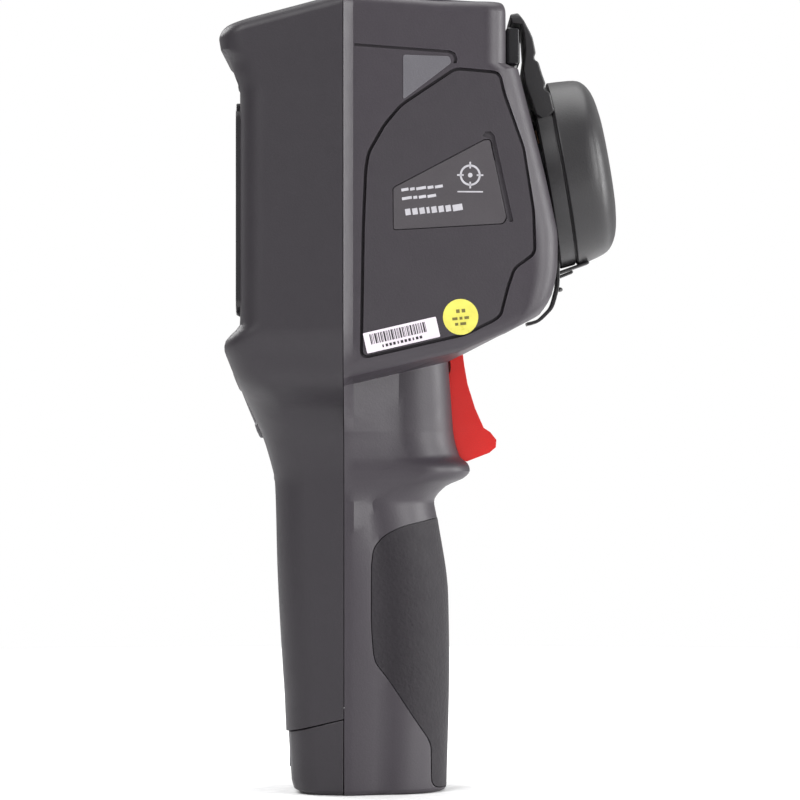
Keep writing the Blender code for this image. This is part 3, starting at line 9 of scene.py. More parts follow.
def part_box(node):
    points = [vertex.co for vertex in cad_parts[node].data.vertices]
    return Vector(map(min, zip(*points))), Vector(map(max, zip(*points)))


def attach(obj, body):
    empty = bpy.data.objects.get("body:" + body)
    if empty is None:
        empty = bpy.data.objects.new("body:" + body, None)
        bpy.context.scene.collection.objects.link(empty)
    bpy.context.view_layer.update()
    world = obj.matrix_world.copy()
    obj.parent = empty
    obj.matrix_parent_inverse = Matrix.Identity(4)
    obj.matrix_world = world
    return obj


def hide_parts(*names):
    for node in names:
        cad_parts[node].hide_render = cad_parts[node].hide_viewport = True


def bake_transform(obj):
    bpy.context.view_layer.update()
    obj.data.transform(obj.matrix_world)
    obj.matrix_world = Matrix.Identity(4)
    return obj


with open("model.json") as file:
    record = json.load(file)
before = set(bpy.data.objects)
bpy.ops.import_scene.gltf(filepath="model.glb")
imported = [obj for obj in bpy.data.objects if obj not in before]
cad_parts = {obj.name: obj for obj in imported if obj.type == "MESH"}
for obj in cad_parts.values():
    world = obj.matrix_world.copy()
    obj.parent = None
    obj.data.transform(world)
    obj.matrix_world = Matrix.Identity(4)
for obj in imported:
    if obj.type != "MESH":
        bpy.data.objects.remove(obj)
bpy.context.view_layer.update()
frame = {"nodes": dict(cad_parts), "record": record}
NODES = frame["nodes"]

# ---------------------------------------------------------------- placing


def matrix(origin, x_axis, z_axis):
    """Place with local X and Z along these directions."""
    x = Vector(x_axis).normalized()
    z = Vector(z_axis).normalized()
    y = z.cross(x).normalized()
    return from_axes(y.cross(z), y, z, origin)


def from_axes(x, y, z, origin):
    rows = [(x[i], y[i], z[i], origin[i]) for i in range(3)]
    return Matrix((*rows, (0, 0, 0, 1)))


def linked(name, data):
    """A new object in the scene."""
    obj = bpy.data.objects.new(name, data)
    bpy.context.scene.collection.objects.link(obj)
    return obj


# ---------------------------------------------------------------- materials


# How far the rounded normal turns from the flat one where wear starts and where it is full.
EDGE_START = 0.02
EDGE_FULL = 0.30
CELLS_PER_GRAIN = 1.6


class Nodes:
    """A small builder for one material's node tree."""

    def __init__(self, name):
        self.material = bpy.data.materials.new(name)
        self.material.use_nodes = True
        self.tree = self.material.node_tree
        self.shader = self.tree.nodes["Principled BSDF"]
        self.coordinates = self.add("ShaderNodeTexCoord").outputs["Object"]
        self.normal = None

    def add(self, kind, **inputs):
        return self.fill(self.tree.nodes.new(kind), inputs)

    @staticmethod
    def fill(node, inputs):
        for key, value in inputs.items():
            node.inputs[key.replace("_", " ")].default_value = value
        return node

    def set(self, **inputs):
        self.fill(self.shader, inputs)

    def link(self, a, b):
        self.tree.links.new(a, b)

    def noise(self, size, detail=3.0, stretch=None, roughness=0.55):
        source = self.coordinates
        if stretch:
            mapping = self.add("ShaderNodeMapping", Scale=stretch)
            self.link(source, mapping.inputs["Vector"])
            source = mapping.outputs["Vector"]
        node = self.add("ShaderNodeTexNoise", Scale=1.0 / size, Detail=detail, Roughness=roughness)
        self.link(source, node.inputs["Vector"])
        return node.outputs["Fac"]

    def cells(self, size):
        node = self.add("ShaderNodeTexVoronoi", Scale=1.0 / size)
        node.feature = "SMOOTH_F1"
        self.link(self.coordinates, node.inputs["Vector"])
        return node.outputs["Distance"]

    def ramp(self, value, low, high, out_low=0.0, out_high=1.0):
        node = self.add("ShaderNodeMapRange", From_Min=low, From_Max=high, To_Min=out_low, To_Max=out_high)
        self.link(value, node.inputs["Value"])
        return node.outputs["Result"]

    def times(self, a, b):
        node = self.add("ShaderNodeMath")
        node.operation = "MULTIPLY"
        for socket, value in zip(node.inputs, (a, b)):
            if isinstance(value, float):
                socket.default_value = value
            else:
                self.link(value, socket)
        return node.outputs[0]

    def mix(self, factor, one, two):
        node = self.tree.nodes.new("ShaderNodeMix")
        node.data_type = "RGBA"
        if isinstance(factor, float):
            node.inputs["Factor"].default_value = factor
        else:
            self.link(factor, node.inputs["Factor"])
        for socket, value in ((node.inputs[6], one), (node.inputs[7], two)):
            if isinstance(value, tuple):
                socket.default_value = (*value, 1.0)
            else:
                self.link(value, socket)
        return node.outputs[2]

    def between(self, noise, colour, low, high):
        """The colour times low to high, by a noise."""
        return self.mix(self.ramp(noise, 0.35, 0.65), scaled(colour, low), scaled(colour, high))

    def bump(self, height, depth):
        """Depth is in metres."""
        node = self.add("ShaderNodeBump", Strength=1.0, Distance=depth)
        self.link(height, node.inputs["Height"])
        if self.normal:
            self.link(self.normal, node.inputs["Normal"])
        self.normal = node.outputs["Normal"]
        self.link(self.normal, self.shader.inputs["Normal"])

    def edges(self, radius):
        """1 along worn edges, 0 on flat faces."""
        rounded = self.add("ShaderNodeBevel", Radius=radius)
        rounded.samples = 4
        flat = self.add("ShaderNodeNewGeometry").outputs["Normal"]
        dot = self.tree.nodes.new("ShaderNodeVectorMath")
        dot.operation = "DOT_PRODUCT"
        self.link(rounded.outputs["Normal"], dot.inputs[0])
        self.link(flat, dot.inputs[1])
        return self.ramp(dot.outputs["Value"], 1.0 - EDGE_START, 1.0 - EDGE_FULL)


def scaled(colour, share):
    return tuple(min(1.0, c * share) for c in colour)


def moulded(name, colour, rough=0.52, grain=0.00042, depth=0.000020, mottle=0.10, wear=0.35,
            sheen=0.0, coat=0.0, specular=0.5, cells=True):
    """Textured plastic or rubber: fine grain, broad mottling, uneven gloss and paler edges."""
    n = Nodes(name)
    broad = n.noise(0.030, 3.0)
    fine = n.noise(grain, 2.0)
    middle = n.noise(0.0045, 4.0)
    base = n.between(broad, colour, 1.0 - mottle, 1.0 + mottle)
    speck = n.mix(n.ramp(fine, 0.35, 0.70), scaled(colour, 0.86), scaled(colour, 1.16))
    result = n.mix(0.5, base, speck)
    if wear:
        edge = n.times(n.times(n.edges(0.0007), n.ramp(middle, 0.30, 0.62, 0.35, 1.0)), wear)
        result = n.mix(edge, result, tuple(min(1.0, c * 2.1 + 0.02) for c in colour))
    n.link(result, n.shader.inputs["Base Color"])
    uneven = n.ramp(middle, 0.30, 0.70, rough - 0.025, rough + 0.03)
    n.link(uneven, n.shader.inputs["Roughness"])
    n.set(Specular_IOR_Level=specular)
    if sheen:
        n.set(Sheen_Weight=sheen, Sheen_Roughness=0.4)
    if coat:
        n.set(Coat_Weight=coat, Coat_Roughness=0.15)
    if cells:
        n.bump(n.cells(grain * CELLS_PER_GRAIN), depth)
    n.bump(fine, depth)
    return n.material


def metal(name, colour, rough=0.32, direction=(1, 1, 12), size=0.0006, metallic=1.0):
    """Drawn or turned metal with fine lines, faint stains and brighter edges."""
    n = Nodes(name)
    lines = n.noise(size, 3.0, direction)
    stain = n.noise(0.006, 4.0)
    result = n.between(stain, colour, 0.88, 1.10)
    result = n.mix(n.times(n.edges(0.0004), 0.5), result, scaled(colour, 1.5))
    n.link(result, n.shader.inputs["Base Color"])
    n.link(n.ramp(lines, 0.3, 0.7, rough - 0.08, rough + 0.10), n.shader.inputs["Roughness"])
    n.set(Metallic=metallic)
    n.bump(lines, 0.00001)
    return n.material


def gloss(name, colour, rough=0.12, coat=0.6):
    """Smooth gloss plastic or coated film with faint smears and fine scratches."""
    n = Nodes(name)
    smear = n.noise(0.004, 4.0)
    scratch = n.noise(0.0007, 2.0, (1, 1, 9))
    result = n.between(smear, colour, 0.93, 1.07)
    n.link(result, n.shader.inputs["Base Color"])
    n.link(n.ramp(smear, 0.3, 0.7, max(0.02, rough - 0.04), rough + 0.07), n.shader.inputs["Roughness"])
    n.set(Coat_Weight=coat, Coat_Roughness=0.08)
    n.bump(scratch, 0.000004)
    return n.material


# Colours are linear. The rest of each row goes to the function that makes the material.
M = {}
MOULDED = {
    "dark_shell": ((0.0145, 0.0112, 0.0158), dict(rough=0.50, mottle=0.05, wear=0.30)),
    "grey_shell": ((0.0265, 0.0212, 0.0280), dict(rough=0.47, mottle=0.05, wear=0.35)),
    "side_panel": ((0.0215, 0.0172, 0.0228), dict(rough=0.50, mottle=0.05, wear=0.40)),
    # The side_trim grey is a painted highlight: its paleness stands in for the light that the trim's face
    # catches.
    "side_trim": ((0.098, 0.094, 0.106), dict(rough=0.42, grain=0.0003, depth=0.000015, wear=0.3)),
    # The label_plate grey is painted light: its paleness stands in for the light on the plate's face, which
    # is flat here.
    "label_plate": ((0.050, 0.0445, 0.050), dict(rough=0.40, grain=0.00030, depth=0.000010, wear=0.25)),
    "grip_rubber": ((0.0125, 0.0100, 0.0135), dict(
        rough=0.66, grain=0.00075, depth=0.00012, mottle=0.10, wear=0.25, sheen=0.10, specular=0.30)),
    "flap_rubber": ((0.0055, 0.0050, 0.0060), dict(rough=0.60, grain=0.0005, depth=0.00005, sheen=0.06)),
    "cap_rubber": ((0.0125, 0.0115, 0.0130), dict(
        rough=0.42, grain=0.00036, depth=0.000022, mottle=0.08, wear=0.25, sheen=0.05)),
    "focus_rubber": ((0.012, 0.012, 0.013), dict(rough=0.60, sheen=0.06)),
    "trigger_red": ((0.56, 0.010, 0.007), dict(
        rough=0.30, grain=0.00030, depth=0.000006, mottle=0.04, wear=0.0, coat=0.25)),
    "bezel": ((0.012, 0.011, 0.013), dict(rough=0.34, grain=0.0003, depth=0.000010, coat=0.1)),
    "key_plate": ((0.0050, 0.0045, 0.0055), dict(rough=0.48)),
    "key_rubber": ((0.060, 0.058, 0.063), dict(rough=0.50, grain=0.0003, depth=0.000012, sheen=0.05)),
    "inner_plastic": ((0.015, 0.015, 0.017), dict(rough=0.50)),
    "membrane_rubber": ((0.15, 0.15, 0.15), dict(rough=0.6)),
    "release_plastic": ((0.040, 0.039, 0.044), dict(rough=0.45)),
    "battery_plastic": ((0.016, 0.016, 0.019), dict(rough=0.40)),
    "cap_line": ((0.42, 0.23, 0.13), dict(rough=0.55, wear=0.0)),
    "floor": ((0.90, 0.90, 0.905), dict(
        rough=0.75, grain=0.004, depth=0.00002, mottle=0.01, wear=0.0, cells=False)),
}
METAL = {
    "steel": ((0.50, 0.50, 0.51), dict()),
    "screw_steel": ((0.075, 0.075, 0.080), dict(rough=0.36)),
    "barrel_metal": ((0.040, 0.040, 0.044), dict(rough=0.36, metallic=0.8)),
    "detector_metal": ((0.50, 0.50, 0.52), dict()),
    "display_metal": ((0.30, 0.30, 0.32), dict()),
    "contact_brass": ((0.72, 0.52, 0.20), dict()),
    "insert_brass": ((0.62, 0.44, 0.18), dict(rough=0.28, direction=(1, 1, 0.2))),
}
GLOSS = {
    "window_block": ((0.010, 0.010, 0.012), dict()),
    "paper_label": ((0.66, 0.60, 0.66), dict(rough=0.35, coat=0.10)),
    "label_ink": ((0.012, 0.011, 0.013), dict(rough=0.35, coat=0.05)),
    "round_sticker": ((0.60, 0.56, 0.10), dict(rough=0.30, coat=0.25)),
    "sticker_ink": ((0.13, 0.11, 0.03), dict(rough=0.35, coat=0.05)),
    "mark_ink": ((0.42, 0.41, 0.44), dict(rough=0.35, coat=0.05)),
    "icon_ink": ((0.50, 0.50, 0.52), dict(rough=0.35, coat=0.05)),
    "circuit_board": ((0.018, 0.13, 0.055), dict(rough=0.35, coat=0.3)),
    "window_glass": ((0.0045, 0.0045, 0.0055), dict(rough=0.06, coat=0.25)),
    "display_glass": ((0.011, 0.012, 0.017), dict(rough=0.12, coat=0.25)),
    "lens_glass": ((0.010, 0.012, 0.030), dict(rough=0.04, coat=1.0)),
    "lamp_glass": ((0.50, 0.50, 0.44), dict(rough=0.10, coat=0.9)),
    "germanium": ((0.16, 0.13, 0.18), dict(rough=0.10, coat=0.6)),
}


def make_materials():
    for make, table in ((moulded, MOULDED), (metal, METAL), (gloss, GLOSS)):
        for name, (colour, looks) in table.items():
            M[name] = make(name, colour, **looks)
    M["germanium"].node_tree.nodes["Principled BSDF"].inputs["Metallic"].default_value = 0.85


make_materials()

# ---------------------------------------------------------------- pieces


def piece(name, mesh, material, body="root", place=None, stands_for=()):
    """A new piece that rides on a body."""
    obj = linked(name, mesh)
    mesh.materials.clear()
    mesh.materials.append(M[material])
    if place is not None:
        obj.matrix_world = place
    if body:
        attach(obj, body)
    if stands_for:
        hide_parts(*stands_for)
    return obj


def mesh_of(bm, name):
    bmesh.ops.recalc_face_normals(bm, faces=bm.faces)
    mesh = bpy.data.meshes.new(name)
    bm.to_mesh(mesh)
    bm.free()
    return mesh


def from_bmesh(bm, name, angle):
    """A mesh whose faces are smooth, with sharp edges above the angle."""
    mesh = mesh_of(bm, name)
    for face in mesh.polygons:
        face.use_smooth = True
    mesh.set_sharp_from_angle(angle=math.radians(angle))
    return mesh


def bevel(obj, width, segments=3, angle=28.0):
    """Rounded edges, with normals that keep the flat faces flat."""
    modifier = obj.modifiers.new("rounded_edges", "BEVEL")
    modifier.width = width
    modifier.segments = segments
    modifier.limit_method = "ANGLE"
    modifier.angle_limit = math.radians(angle)
    modifier.miter_outer = "MITER_ARC"
    weighted = obj.modifiers.new("weighted_normals", "WEIGHTED_NORMAL")
    weighted.keep_sharp = True


def shaped(name, bm, material, angle=30.0, body="root", stands_for=()):
    """A piece from a bmesh, with its edges sharp above the angle."""
    return piece(name, from_bmesh(bm, name, angle), material, body, stands_for=stands_for)


WELD_DISTANCE = 0.000004
FLAT_ANGLE = math.radians(0.4)


def welded(node):
    """The CAD node's shape as one welded mesh with its flat faces whole."""
    bm = bmesh.new()
    bm.from_mesh(NODES[node].data)
    bmesh.ops.remove_doubles(bm, verts=bm.verts, dist=WELD_DISTANCE)
    bmesh.ops.dissolve_limit(bm, angle_limit=FLAT_ANGLE, verts=bm.verts, edges=bm.edges)
    return bm


def rounded_copy(node, material, width, body):
    """A finer piece in the shape of the CAD node, with rounded edges."""
    bevel(shaped(node + "_fine", welded(node), material, 32.0, body, (node,)), width)


def keep_node(node, material):
    """The CAD node stays as it is, with a better material."""
    mesh = NODES[node].data
    for face in mesh.polygons:
        face.use_smooth = False
    if not mesh.materials:
        mesh.materials.append(M[material])
    for i in range(len(mesh.materials)):
        mesh.materials[i] = M[material]


SLOTS = {entry["node"]: entry["material_slot"] for entry in frame["record"]["subparts"]}
BODY_OF = {}
for body_name, members in frame["record"]["behaviour"]["bodies"].items():
    for member in members:
        BODY_OF[member] = body_name

for node_name in NODES:
    keep_node(node_name, SLOTS[node_name])

# Width of each finer copy's rounded edges.
ROUNDED = {
    "battery_cap": 0.00035,
    "port_flap": 0.00030,
    "trigger": 0.00060,
    "display_bezel": 0.00040,
    "display_window": 0.00015,
    "key_panel": 0.00020,
    "nav_ring": 0.00035,
    "ok_key": 0.00030,
    "upper_right_key": 0.00030,
    "upper_left_key": 0.00030,
    "lower_right_key": 0.00030,
    "lower_left_key": 0.00030,
    "battery_release": 0.00025,
    "window_block": 0.00020,
}
for node_name, width in ROUNDED.items():
    rounded_copy(node_name, SLOTS[node_name], width, BODY_OF[node_name])

# ---------------------------------------------------------------- fine housing shells

# Sizes of the CAD, in metres.
GRIP_HALF = 0.0280
HEAD_HALF = 0.0500
SEAM_X = -0.0234
SEAM_GAP = 0.00025
SEAM_CHAMFER = 0.0030
HEAD_LOW_Z = 0.1265
CHIN_Z = 0.1462
SHOULDER_Z = 0.2205
BROW_X = -0.0608
SHOULDER_X = 0.0295
BLOCK_BACK_X = 0.0256
SIDE_HALF = 0.0466
SIDE_START_X = -0.0204
NOSE_FRONT_X = 0.0415
NOSE_CORNER = 0.0090
BLOCK_CORNER = 0.0070
SIDE_LEAN = math.atan2(SIDE_HALF - 0.0380, NOSE_FRONT_X - NOSE_CORNER - SIDE_START_X)
KINK_SHARE = 0.673
WALL = 0.0026
# How far a hollow runs past the seam, and the least radius of a corner.
OVERCUT = 0.006
LEAST_RADIUS = 0.003
ARC = 14
OPTICS_MIDDLE = (0.0377, 0, 0.1884)
OPTICS_TILT = math.radians(12.5)

BACK_LINE = [
    (0.0000, -0.0398), (0.0690, -0.0440), (0.0939, -0.0447), (0.1050, -0.0471), (0.1315, -0.0580),
    (0.1359, -0.0594), (0.1378, -0.0590), (0.1434, -0.0545), (0.2122, -0.0545), (0.2186, -0.0564),
    (0.2226, -0.0577), (0.2267, -0.0608), (0.2425, -0.0608),
]
GRIP_FRONT_LINE = [
    (0.0000, 0.0079), (0.0390, 0.0088), (0.0600, 0.0085), (0.0826, 0.0054), (0.0890, 0.0042),
    (0.0936, 0.0076), (0.0966, 0.0138), (0.0986, 0.0152), (0.1004, 0.0148), (0.1029, 0.0122),
    (0.1110, 0.0101), (0.1359, 0.0082),
]
NOSE_FRONT_LINE = [
    (0.1462, 0.0360), (0.1500, 0.0386), (0.1532, 0.0400), (0.1628, 0.0415), (0.1692, 0.0415),
    (0.1779, 0.0400), (0.2205, 0.0295),
]
SEAM_HALF_LINE = [
    (0.0000, 0.0280), (0.0946, 0.0280), (0.1070, 0.0295), (0.1170, 0.0350), (0.1265, 0.0460),
    (0.1349, 0.0480), (0.1429, 0.0500), (0.2425, 0.0500),
]
CORNER_LINE = [(0.0000, 0.0130), (0.0986, 0.0130), (0.1315, 0.0100), (0.1439, 0.0080), (0.2425, 0.0080)]
TOP_LINE = [(-0.0608, 0.2323), (-0.0259, 0.2425), (0.0039, 0.2406), (0.0295, 0.2407)]


def straight(line, at):
    if at <= line[0][0]:
        return line[0][1]
    for (a, va), (b, vb) in zip(line, line[1:]):
        if at <= b:
            return va + (vb - va) * (at - a) / (b - a)
    return line[-1][1]


def smooth_at(line, at):
    """A smooth curve through the line's points that doesn't overshoot them."""
    if at <= line[0][0]:
        return line[0][1]
    if at >= line[-1][0]:
        return line[-1][1]
    slopes = [(line[i + 1][1] - line[i][1]) / (line[i + 1][0] - line[i][0]) for i in range(len(line) - 1)]
    tangents = [slopes[0]]
    for one, two in zip(slopes, slopes[1:]):
        tangents.append(0.0 if one * two <= 0 else 2 * one * two / (one + two))
    tangents.append(slopes[-1])
    for i in range(len(line) - 1):
        a, va = line[i]
        b, vb = line[i + 1]
        if at <= b:
            t = (at - a) / (b - a)
            span = b - a
            return (va * (2 * t ** 3 - 3 * t ** 2 + 1) + tangents[i] * span * (t ** 3 - 2 * t ** 2 + t)
                    + vb * (-2 * t ** 3 + 3 * t ** 2) + tangents[i + 1] * span * (t ** 3 - t ** 2))
    return line[-1][1]


def top_height(x):
    return straight(TOP_LINE, x)


def side_half_at(x):
    return SIDE_HALF - math.tan(SIDE_LEAN) * (x - SIDE_START_X)


def arc(centre, radius, start, end, steps):
    points = []
    for i in range(steps + 1):
        a = math.radians(start + (end - start) * i / steps)
        points.append((centre[0] + radius * math.cos(a), centre[1] + radius * math.sin(a)))
    return points


def back_ring(x_back, half, radius, height_at, wall=0.0, steps=ARC):
    seam = SEAM_X - SEAM_GAP / 2 if not wall else SEAM_X + OVERCUT
    radius = max(radius - wall, LEAST_RADIUS)
    side = [(seam, half - wall)]
    side += arc((x_back + wall + radius, half - 0.0012 - wall - radius), radius, 90, 180, steps)
    points = side + [(x, -y) for x, y in reversed(side)]
    return [(x, y, height_at(x)) for x, y in points]


def front_ring(x_front, seam_half, side_half, nose_half, radius, height_at, wall=0.0, steps=ARC):
    start = SEAM_X + SEAM_GAP / 2 if not wall else SEAM_X - OVERCUT
    chamfer_x = SEAM_X + SEAM_CHAMFER
    x_front -= wall
    radius = max(radius - wall, LEAST_RADIUS)
    kink_x = chamfer_x + KINK_SHARE * (x_front - radius - chamfer_x)
    kink_half = side_half + (nose_half - side_half) * KINK_SHARE
    start_half = min(seam_half, side_half) if wall else seam_half
    side = [(start, start_half - wall), (chamfer_x, side_half - wall), (kink_x, kink_half - wall)]
    side += arc((x_front - radius, nose_half - wall - radius), radius, 90, 0, steps)
    points = [(x, -y) for x, y in side] + side[::-1]
    return [(x, y, height_at(x)) for x, y in points]


def level(z):
    return lambda x: z


def below_top(drop):
    return lambda x: top_height(x) - drop


def ring_surface(rings):
    """Faces through rings of equally many points, and one across each end."""
    bm = bmesh.new()
    loops = [[bm.verts.new(p) for p in ring] for ring in rings]
    count = len(rings[0])
    for one, two in zip(loops, loops[1:]):
        for i in range(count):
            j = (i + 1) % count
            bm.faces.new((one[i], one[j], two[j], two[i]))
    bm.faces.new(loops[0][::-1])
    bm.faces.new(loops[-1])
    return bm


def loft(rings):
    """One closed body through rings of equally many points."""
    bm = ring_surface(rings)
    bmesh.ops.remove_doubles(bm, verts=bm.verts, dist=0.000001)
    bmesh.ops.recalc_face_normals(bm, faces=bm.faces)
    return bm


def spaced(low, high, step):
    count = max(1, int(math.ceil((high - low) / step)))
    return [low + (high - low) * i / count for i in range(count + 1)]


def top_rounding(rounding=0.0036, steps=8):
    """How far in and how far down the top edge is at each step of its rounding."""
    turns = [math.radians(90 * i / steps) for i in range(steps + 1)]
    return [(rounding * (1 - math.cos(a)), rounding * (1 - math.sin(a))) for a in turns]


def cap_seam(x):
    """Height of the seam between the housing and the battery cap."""
    return 0.0190 + 0.247 * (x + 0.0411)


def rear_rings(wall=0.0):
    line = smooth_at if not wall else straight
    rings = []
    low = 0.0230
    lowest = cap_seam if not wall else lambda x: cap_seam(x) - OVERCUT
    rings.append(back_ring(line(BACK_LINE, low), line(SEAM_HALF_LINE, low), 0.013, lowest, wall))
    step = 0.0016 if not wall else 0.012
    for z in spaced(0.0300, 0.2255, step):
        x_back, half, radius = line(BACK_LINE, z), line(SEAM_HALF_LINE, z), line(CORNER_LINE, z)
        rings.append(back_ring(x_back, half, radius, level(z), wall))
    if wall:
        rings.append(back_ring(BROW_X, HEAD_HALF, 0.008, below_top(0.001 + wall), wall))
        return rings
    for inset, drop in top_rounding():
        rings.append(back_ring(BROW_X + inset, HEAD_HALF - inset, 0.008 - inset * 0.5, below_top(drop)))
    return rings


def head_level(share):
    front_z = CHIN_Z + share * (SHOULDER_Z - CHIN_Z)
    x_front = smooth_at(NOSE_FRONT_LINE, front_z)
    seam_z = HEAD_LOW_Z + share * (SHOULDER_Z - 0.004 - HEAD_LOW_Z)
    kink_x = SEAM_X + KINK_SHARE * (x_front - SEAM_X)
    kink_drop = 0.0038 * (1 - share) ** 2

    def height(x):
        z = seam_z + (front_z - seam_z) * (x - SEAM_X) / (x_front - SEAM_X)
        if x < kink_x:
            return z - kink_drop * (x - SEAM_X) / (kink_x - SEAM_X)
        return z - kink_drop * max(0.0, x_front - x) / (x_front - kink_x)

    return height, x_front, seam_z


def grip_front_ring(z, wall=0.0, inset=0.0, line=smooth_at):
    half = line(SEAM_HALF_LINE, z) - inset
    above = max(0.0, min(1.0, (z - 0.0890) / 0.0046))
    nose = min(half, GRIP_HALF) - 0.0035 - 0.0015 * max(0.0, min(1.0, (z - 0.0996) / 0.0033))
    return front_ring(line(GRIP_FRONT_LINE, z) - inset, half, half - 0.0008 * above, nose,
                      0.0190 - 0.0020 * above, level(z), wall)


def front_rings(wall=0.0):
    line = smooth_at if not wall else straight
    if wall:
        rings = [grip_front_ring(z, wall, line=line)
                 for z in (wall, 0.03, 0.06, 0.0826, 0.0890, 0.0986, 0.1029)]
    else:
        rings = []
        for i in range(6):
            a = math.radians(90 * i / 5)
            rings.append(grip_front_ring(0.0016 * (1 - math.cos(a)), 0.0, 0.0016 * (1 - math.sin(a))))
        rings += [grip_front_ring(z) for z in spaced(0.0040, 0.0880, 0.0028)]
        rings += [grip_front_ring(z) for z in spaced(0.0890, 0.1110, 0.0008)]
    under, _, _ = head_level(0.0)
    half = line(SEAM_HALF_LINE, HEAD_LOW_Z - 0.003)
    for share in ((1.0,) if wall else (0.35, 0.7, 1.0)):
        low = 0.1110
        rings.append(front_ring(
            0.0101 + share * (0.0084 - 0.0101), 0.0312 + share * (half - 0.0312),
            0.0304 + share * (GRIP_HALF + 0.0045 - 0.0304), 0.0230 + share * (GRIP_HALF - 0.0035 - 0.0230),
            0.0170 - 0.0020 * share,
            lambda x, s=share: low + s * (under(x) - 0.0020 + wall - low), wall))
    shares = [0.0, 0.006, 0.012, 0.02, 0.035, 0.05] + spaced(0.08, 1.0, 0.04)
    if wall:
        shares = [0.0, 0.05, 0.23, 0.5, 0.82, 1.0]
    for share in shares:
        height_at, x_front, seam_z = head_level(share)
        drop = smooth_at([(0.0, 0.0030), (0.02, 0.0008), (0.05, 0.0), (1.0, 0.0)], share)
        lift = wall * ((share < 0.03) - (share > 0.95))
        nose_half = side_half_at(x_front - NOSE_CORNER) - drop
        rings.append(front_ring(x_front, line(SEAM_HALF_LINE, seam_z), SIDE_HALF - drop, nose_half,
                                NOSE_CORNER, lambda x, h=height_at, r=lift: h(x) + r, wall))
    nose_half = side_half_at(BLOCK_BACK_X - BLOCK_CORNER)
    rings.append(front_ring(BLOCK_BACK_X, HEAD_HALF, SIDE_HALF, nose_half, BLOCK_CORNER,
                            level(SHOULDER_Z + 0.0015 - wall), wall))
    if wall:
        rings.append(front_ring(BLOCK_BACK_X, HEAD_HALF, SIDE_HALF, nose_half, BLOCK_CORNER,
                                below_top(0.001 + wall), wall))
        return rings
    for inset, drop in top_rounding():
        rings.append(front_ring(BLOCK_BACK_X - inset / 2, HEAD_HALF - inset, SIDE_HALF - inset,
                                nose_half - inset, BLOCK_CORNER, below_top(drop)))
    return rings


def solid_object(name, bm):
    return linked(name, mesh_of(bm, name))


def prism(points, low, high):
    """A solid from an outline of (u, v) points between two heights along w."""
    bm = ring_surface([[(u, v, w) for u, v in points] for w in (low, high)])
    bmesh.ops.recalc_face_normals(bm, faces=bm.faces)
    return bm


def block(low, high):
    return prism([low[:2], (high[0], low[1]), high[:2], (low[0], high[1])], low[2], high[2])


def cylinder(radius, low, high, steps=48):
    return prism(circle((0, 0), radius, steps), low, high)


def moved(bm, place):
    bm.transform(place)
    return bm


def carved(bm, cutters, operation="DIFFERENCE", solver="EXACT"):
    """The body after each cutter, as a new bmesh."""
    body = solid_object("carving", bm)
    used = []
    for i, cutter in enumerate(cutters):
        tool = solid_object(f"carver_{i}", cutter)
        used.append(tool)
        step = body.modifiers.new(f"cut_{i}", "BOOLEAN")
        step.operation = operation
        step.solver = solver
        step.object = tool
    bpy.context.view_layer.update()
    result = body.evaluated_get(bpy.context.evaluated_depsgraph_get())
    out = bmesh.new()
    out.from_mesh(result.to_mesh())
    result.to_mesh_clear()
    for obj in used + [body]:
        mesh = obj.data
        bpy.data.objects.remove(obj, do_unlink=True)
        bpy.data.meshes.remove(mesh)
    return out


def side_place(sign):
    """Local X runs forwards along the flat side, local Y is up, and local Z points out on the right side."""
    along = Vector((math.cos(SIDE_LEAN), -sign * math.sin(SIDE_LEAN), 0))
    origin = Vector((0, sign * side_half_at(0.0), 0))
    up = Vector((0, 0, 1))
    out = along.cross(up)
    return from_axes(along, up, out, origin)


def on_side(points, sign, low, high):
    """A solid on the head's flat side, between two heights out of it."""
    bottom, top = sorted((low * -sign, high * -sign))
    return moved(prism(points, bottom, top), side_place(sign))


def grown(points, grow):
    """The outline moved outwards. Its points run anticlockwise."""
    result = []
    for i, point in enumerate(points):
        before, here, after = Vector(points[i - 1]), Vector(point), Vector(points[(i + 1) % len(points)])
        one, two = (here - before).normalized(), (after - here).normalized()
        normal_one, normal_two = Vector((one.y, -one.x)), Vector((two.y, -two.x))
        mitre = (normal_one + normal_two).normalized()
        result.append(tuple(here + mitre * grow / max(0.5, mitre.dot(normal_one))))
    return result


def rounded_outline(points, radius, steps=5):
    """The outline with each corner rounded."""
    result = []
    count = len(points)
    for i in range(count):
        before, here, after = Vector(points[i - 1]), Vector(points[i]), Vector(points[(i + 1) % count])
        one, two = (before - here), (after - here)
        reach = min(radius, one.length * 0.45, two.length * 0.45)
        start, end = here + one.normalized() * reach, here + two.normalized() * reach
        for k in range(steps + 1):
            t = k / steps
            result.append(tuple(start * (1 - t) ** 2 + here * 2 * t * (1 - t) + end * t ** 2))
    return result


def rectangle(centre, width, height, turn=0.0):
    c, s = math.cos(turn), math.sin(turn)
    w, h = width / 2, height / 2
    return [(centre[0] + x * c - y * s, centre[1] + x * s + y * c)
            for x, y in ((-w, -h), (w, -h), (w, h), (-w, h))]


def circle(centre, radius, steps=48):
    return [(centre[0] + radius * math.cos(2 * math.pi * i / steps),
             centre[1] + radius * math.sin(2 * math.pi * i / steps)) for i in range(steps)]


def merged(parts):
    """Several bodies as one bmesh."""
    whole = bmesh.new()
    for part in parts:
        mesh = bpy.data.meshes.new("part")
        part.to_mesh(mesh)
        part.free()
        whole.from_mesh(mesh)
        bpy.data.meshes.remove(mesh)
    return whole


def side_view():
    """Local X is the camera's X, local Y is up, and local Z is towards -Y."""
    return Matrix(((1, 0, 0, 0), (0, 0, -1, 0), (0, 1, 0, 0), (0, 0, 0, 1)))


def end_view():
    """Local X is the camera's Y, local Y is up, and local Z is the camera's X."""
    return Matrix(((0, 0, 1, 0), (1, 0, 0, 0), (0, 1, 0, 0), (0, 0, 0, 1)))


def optics_place():
    c, s = math.cos(OPTICS_TILT), math.sin(OPTICS_TILT)
    return matrix(OPTICS_MIDDLE, (-s, 0, c), (c, 0, s))


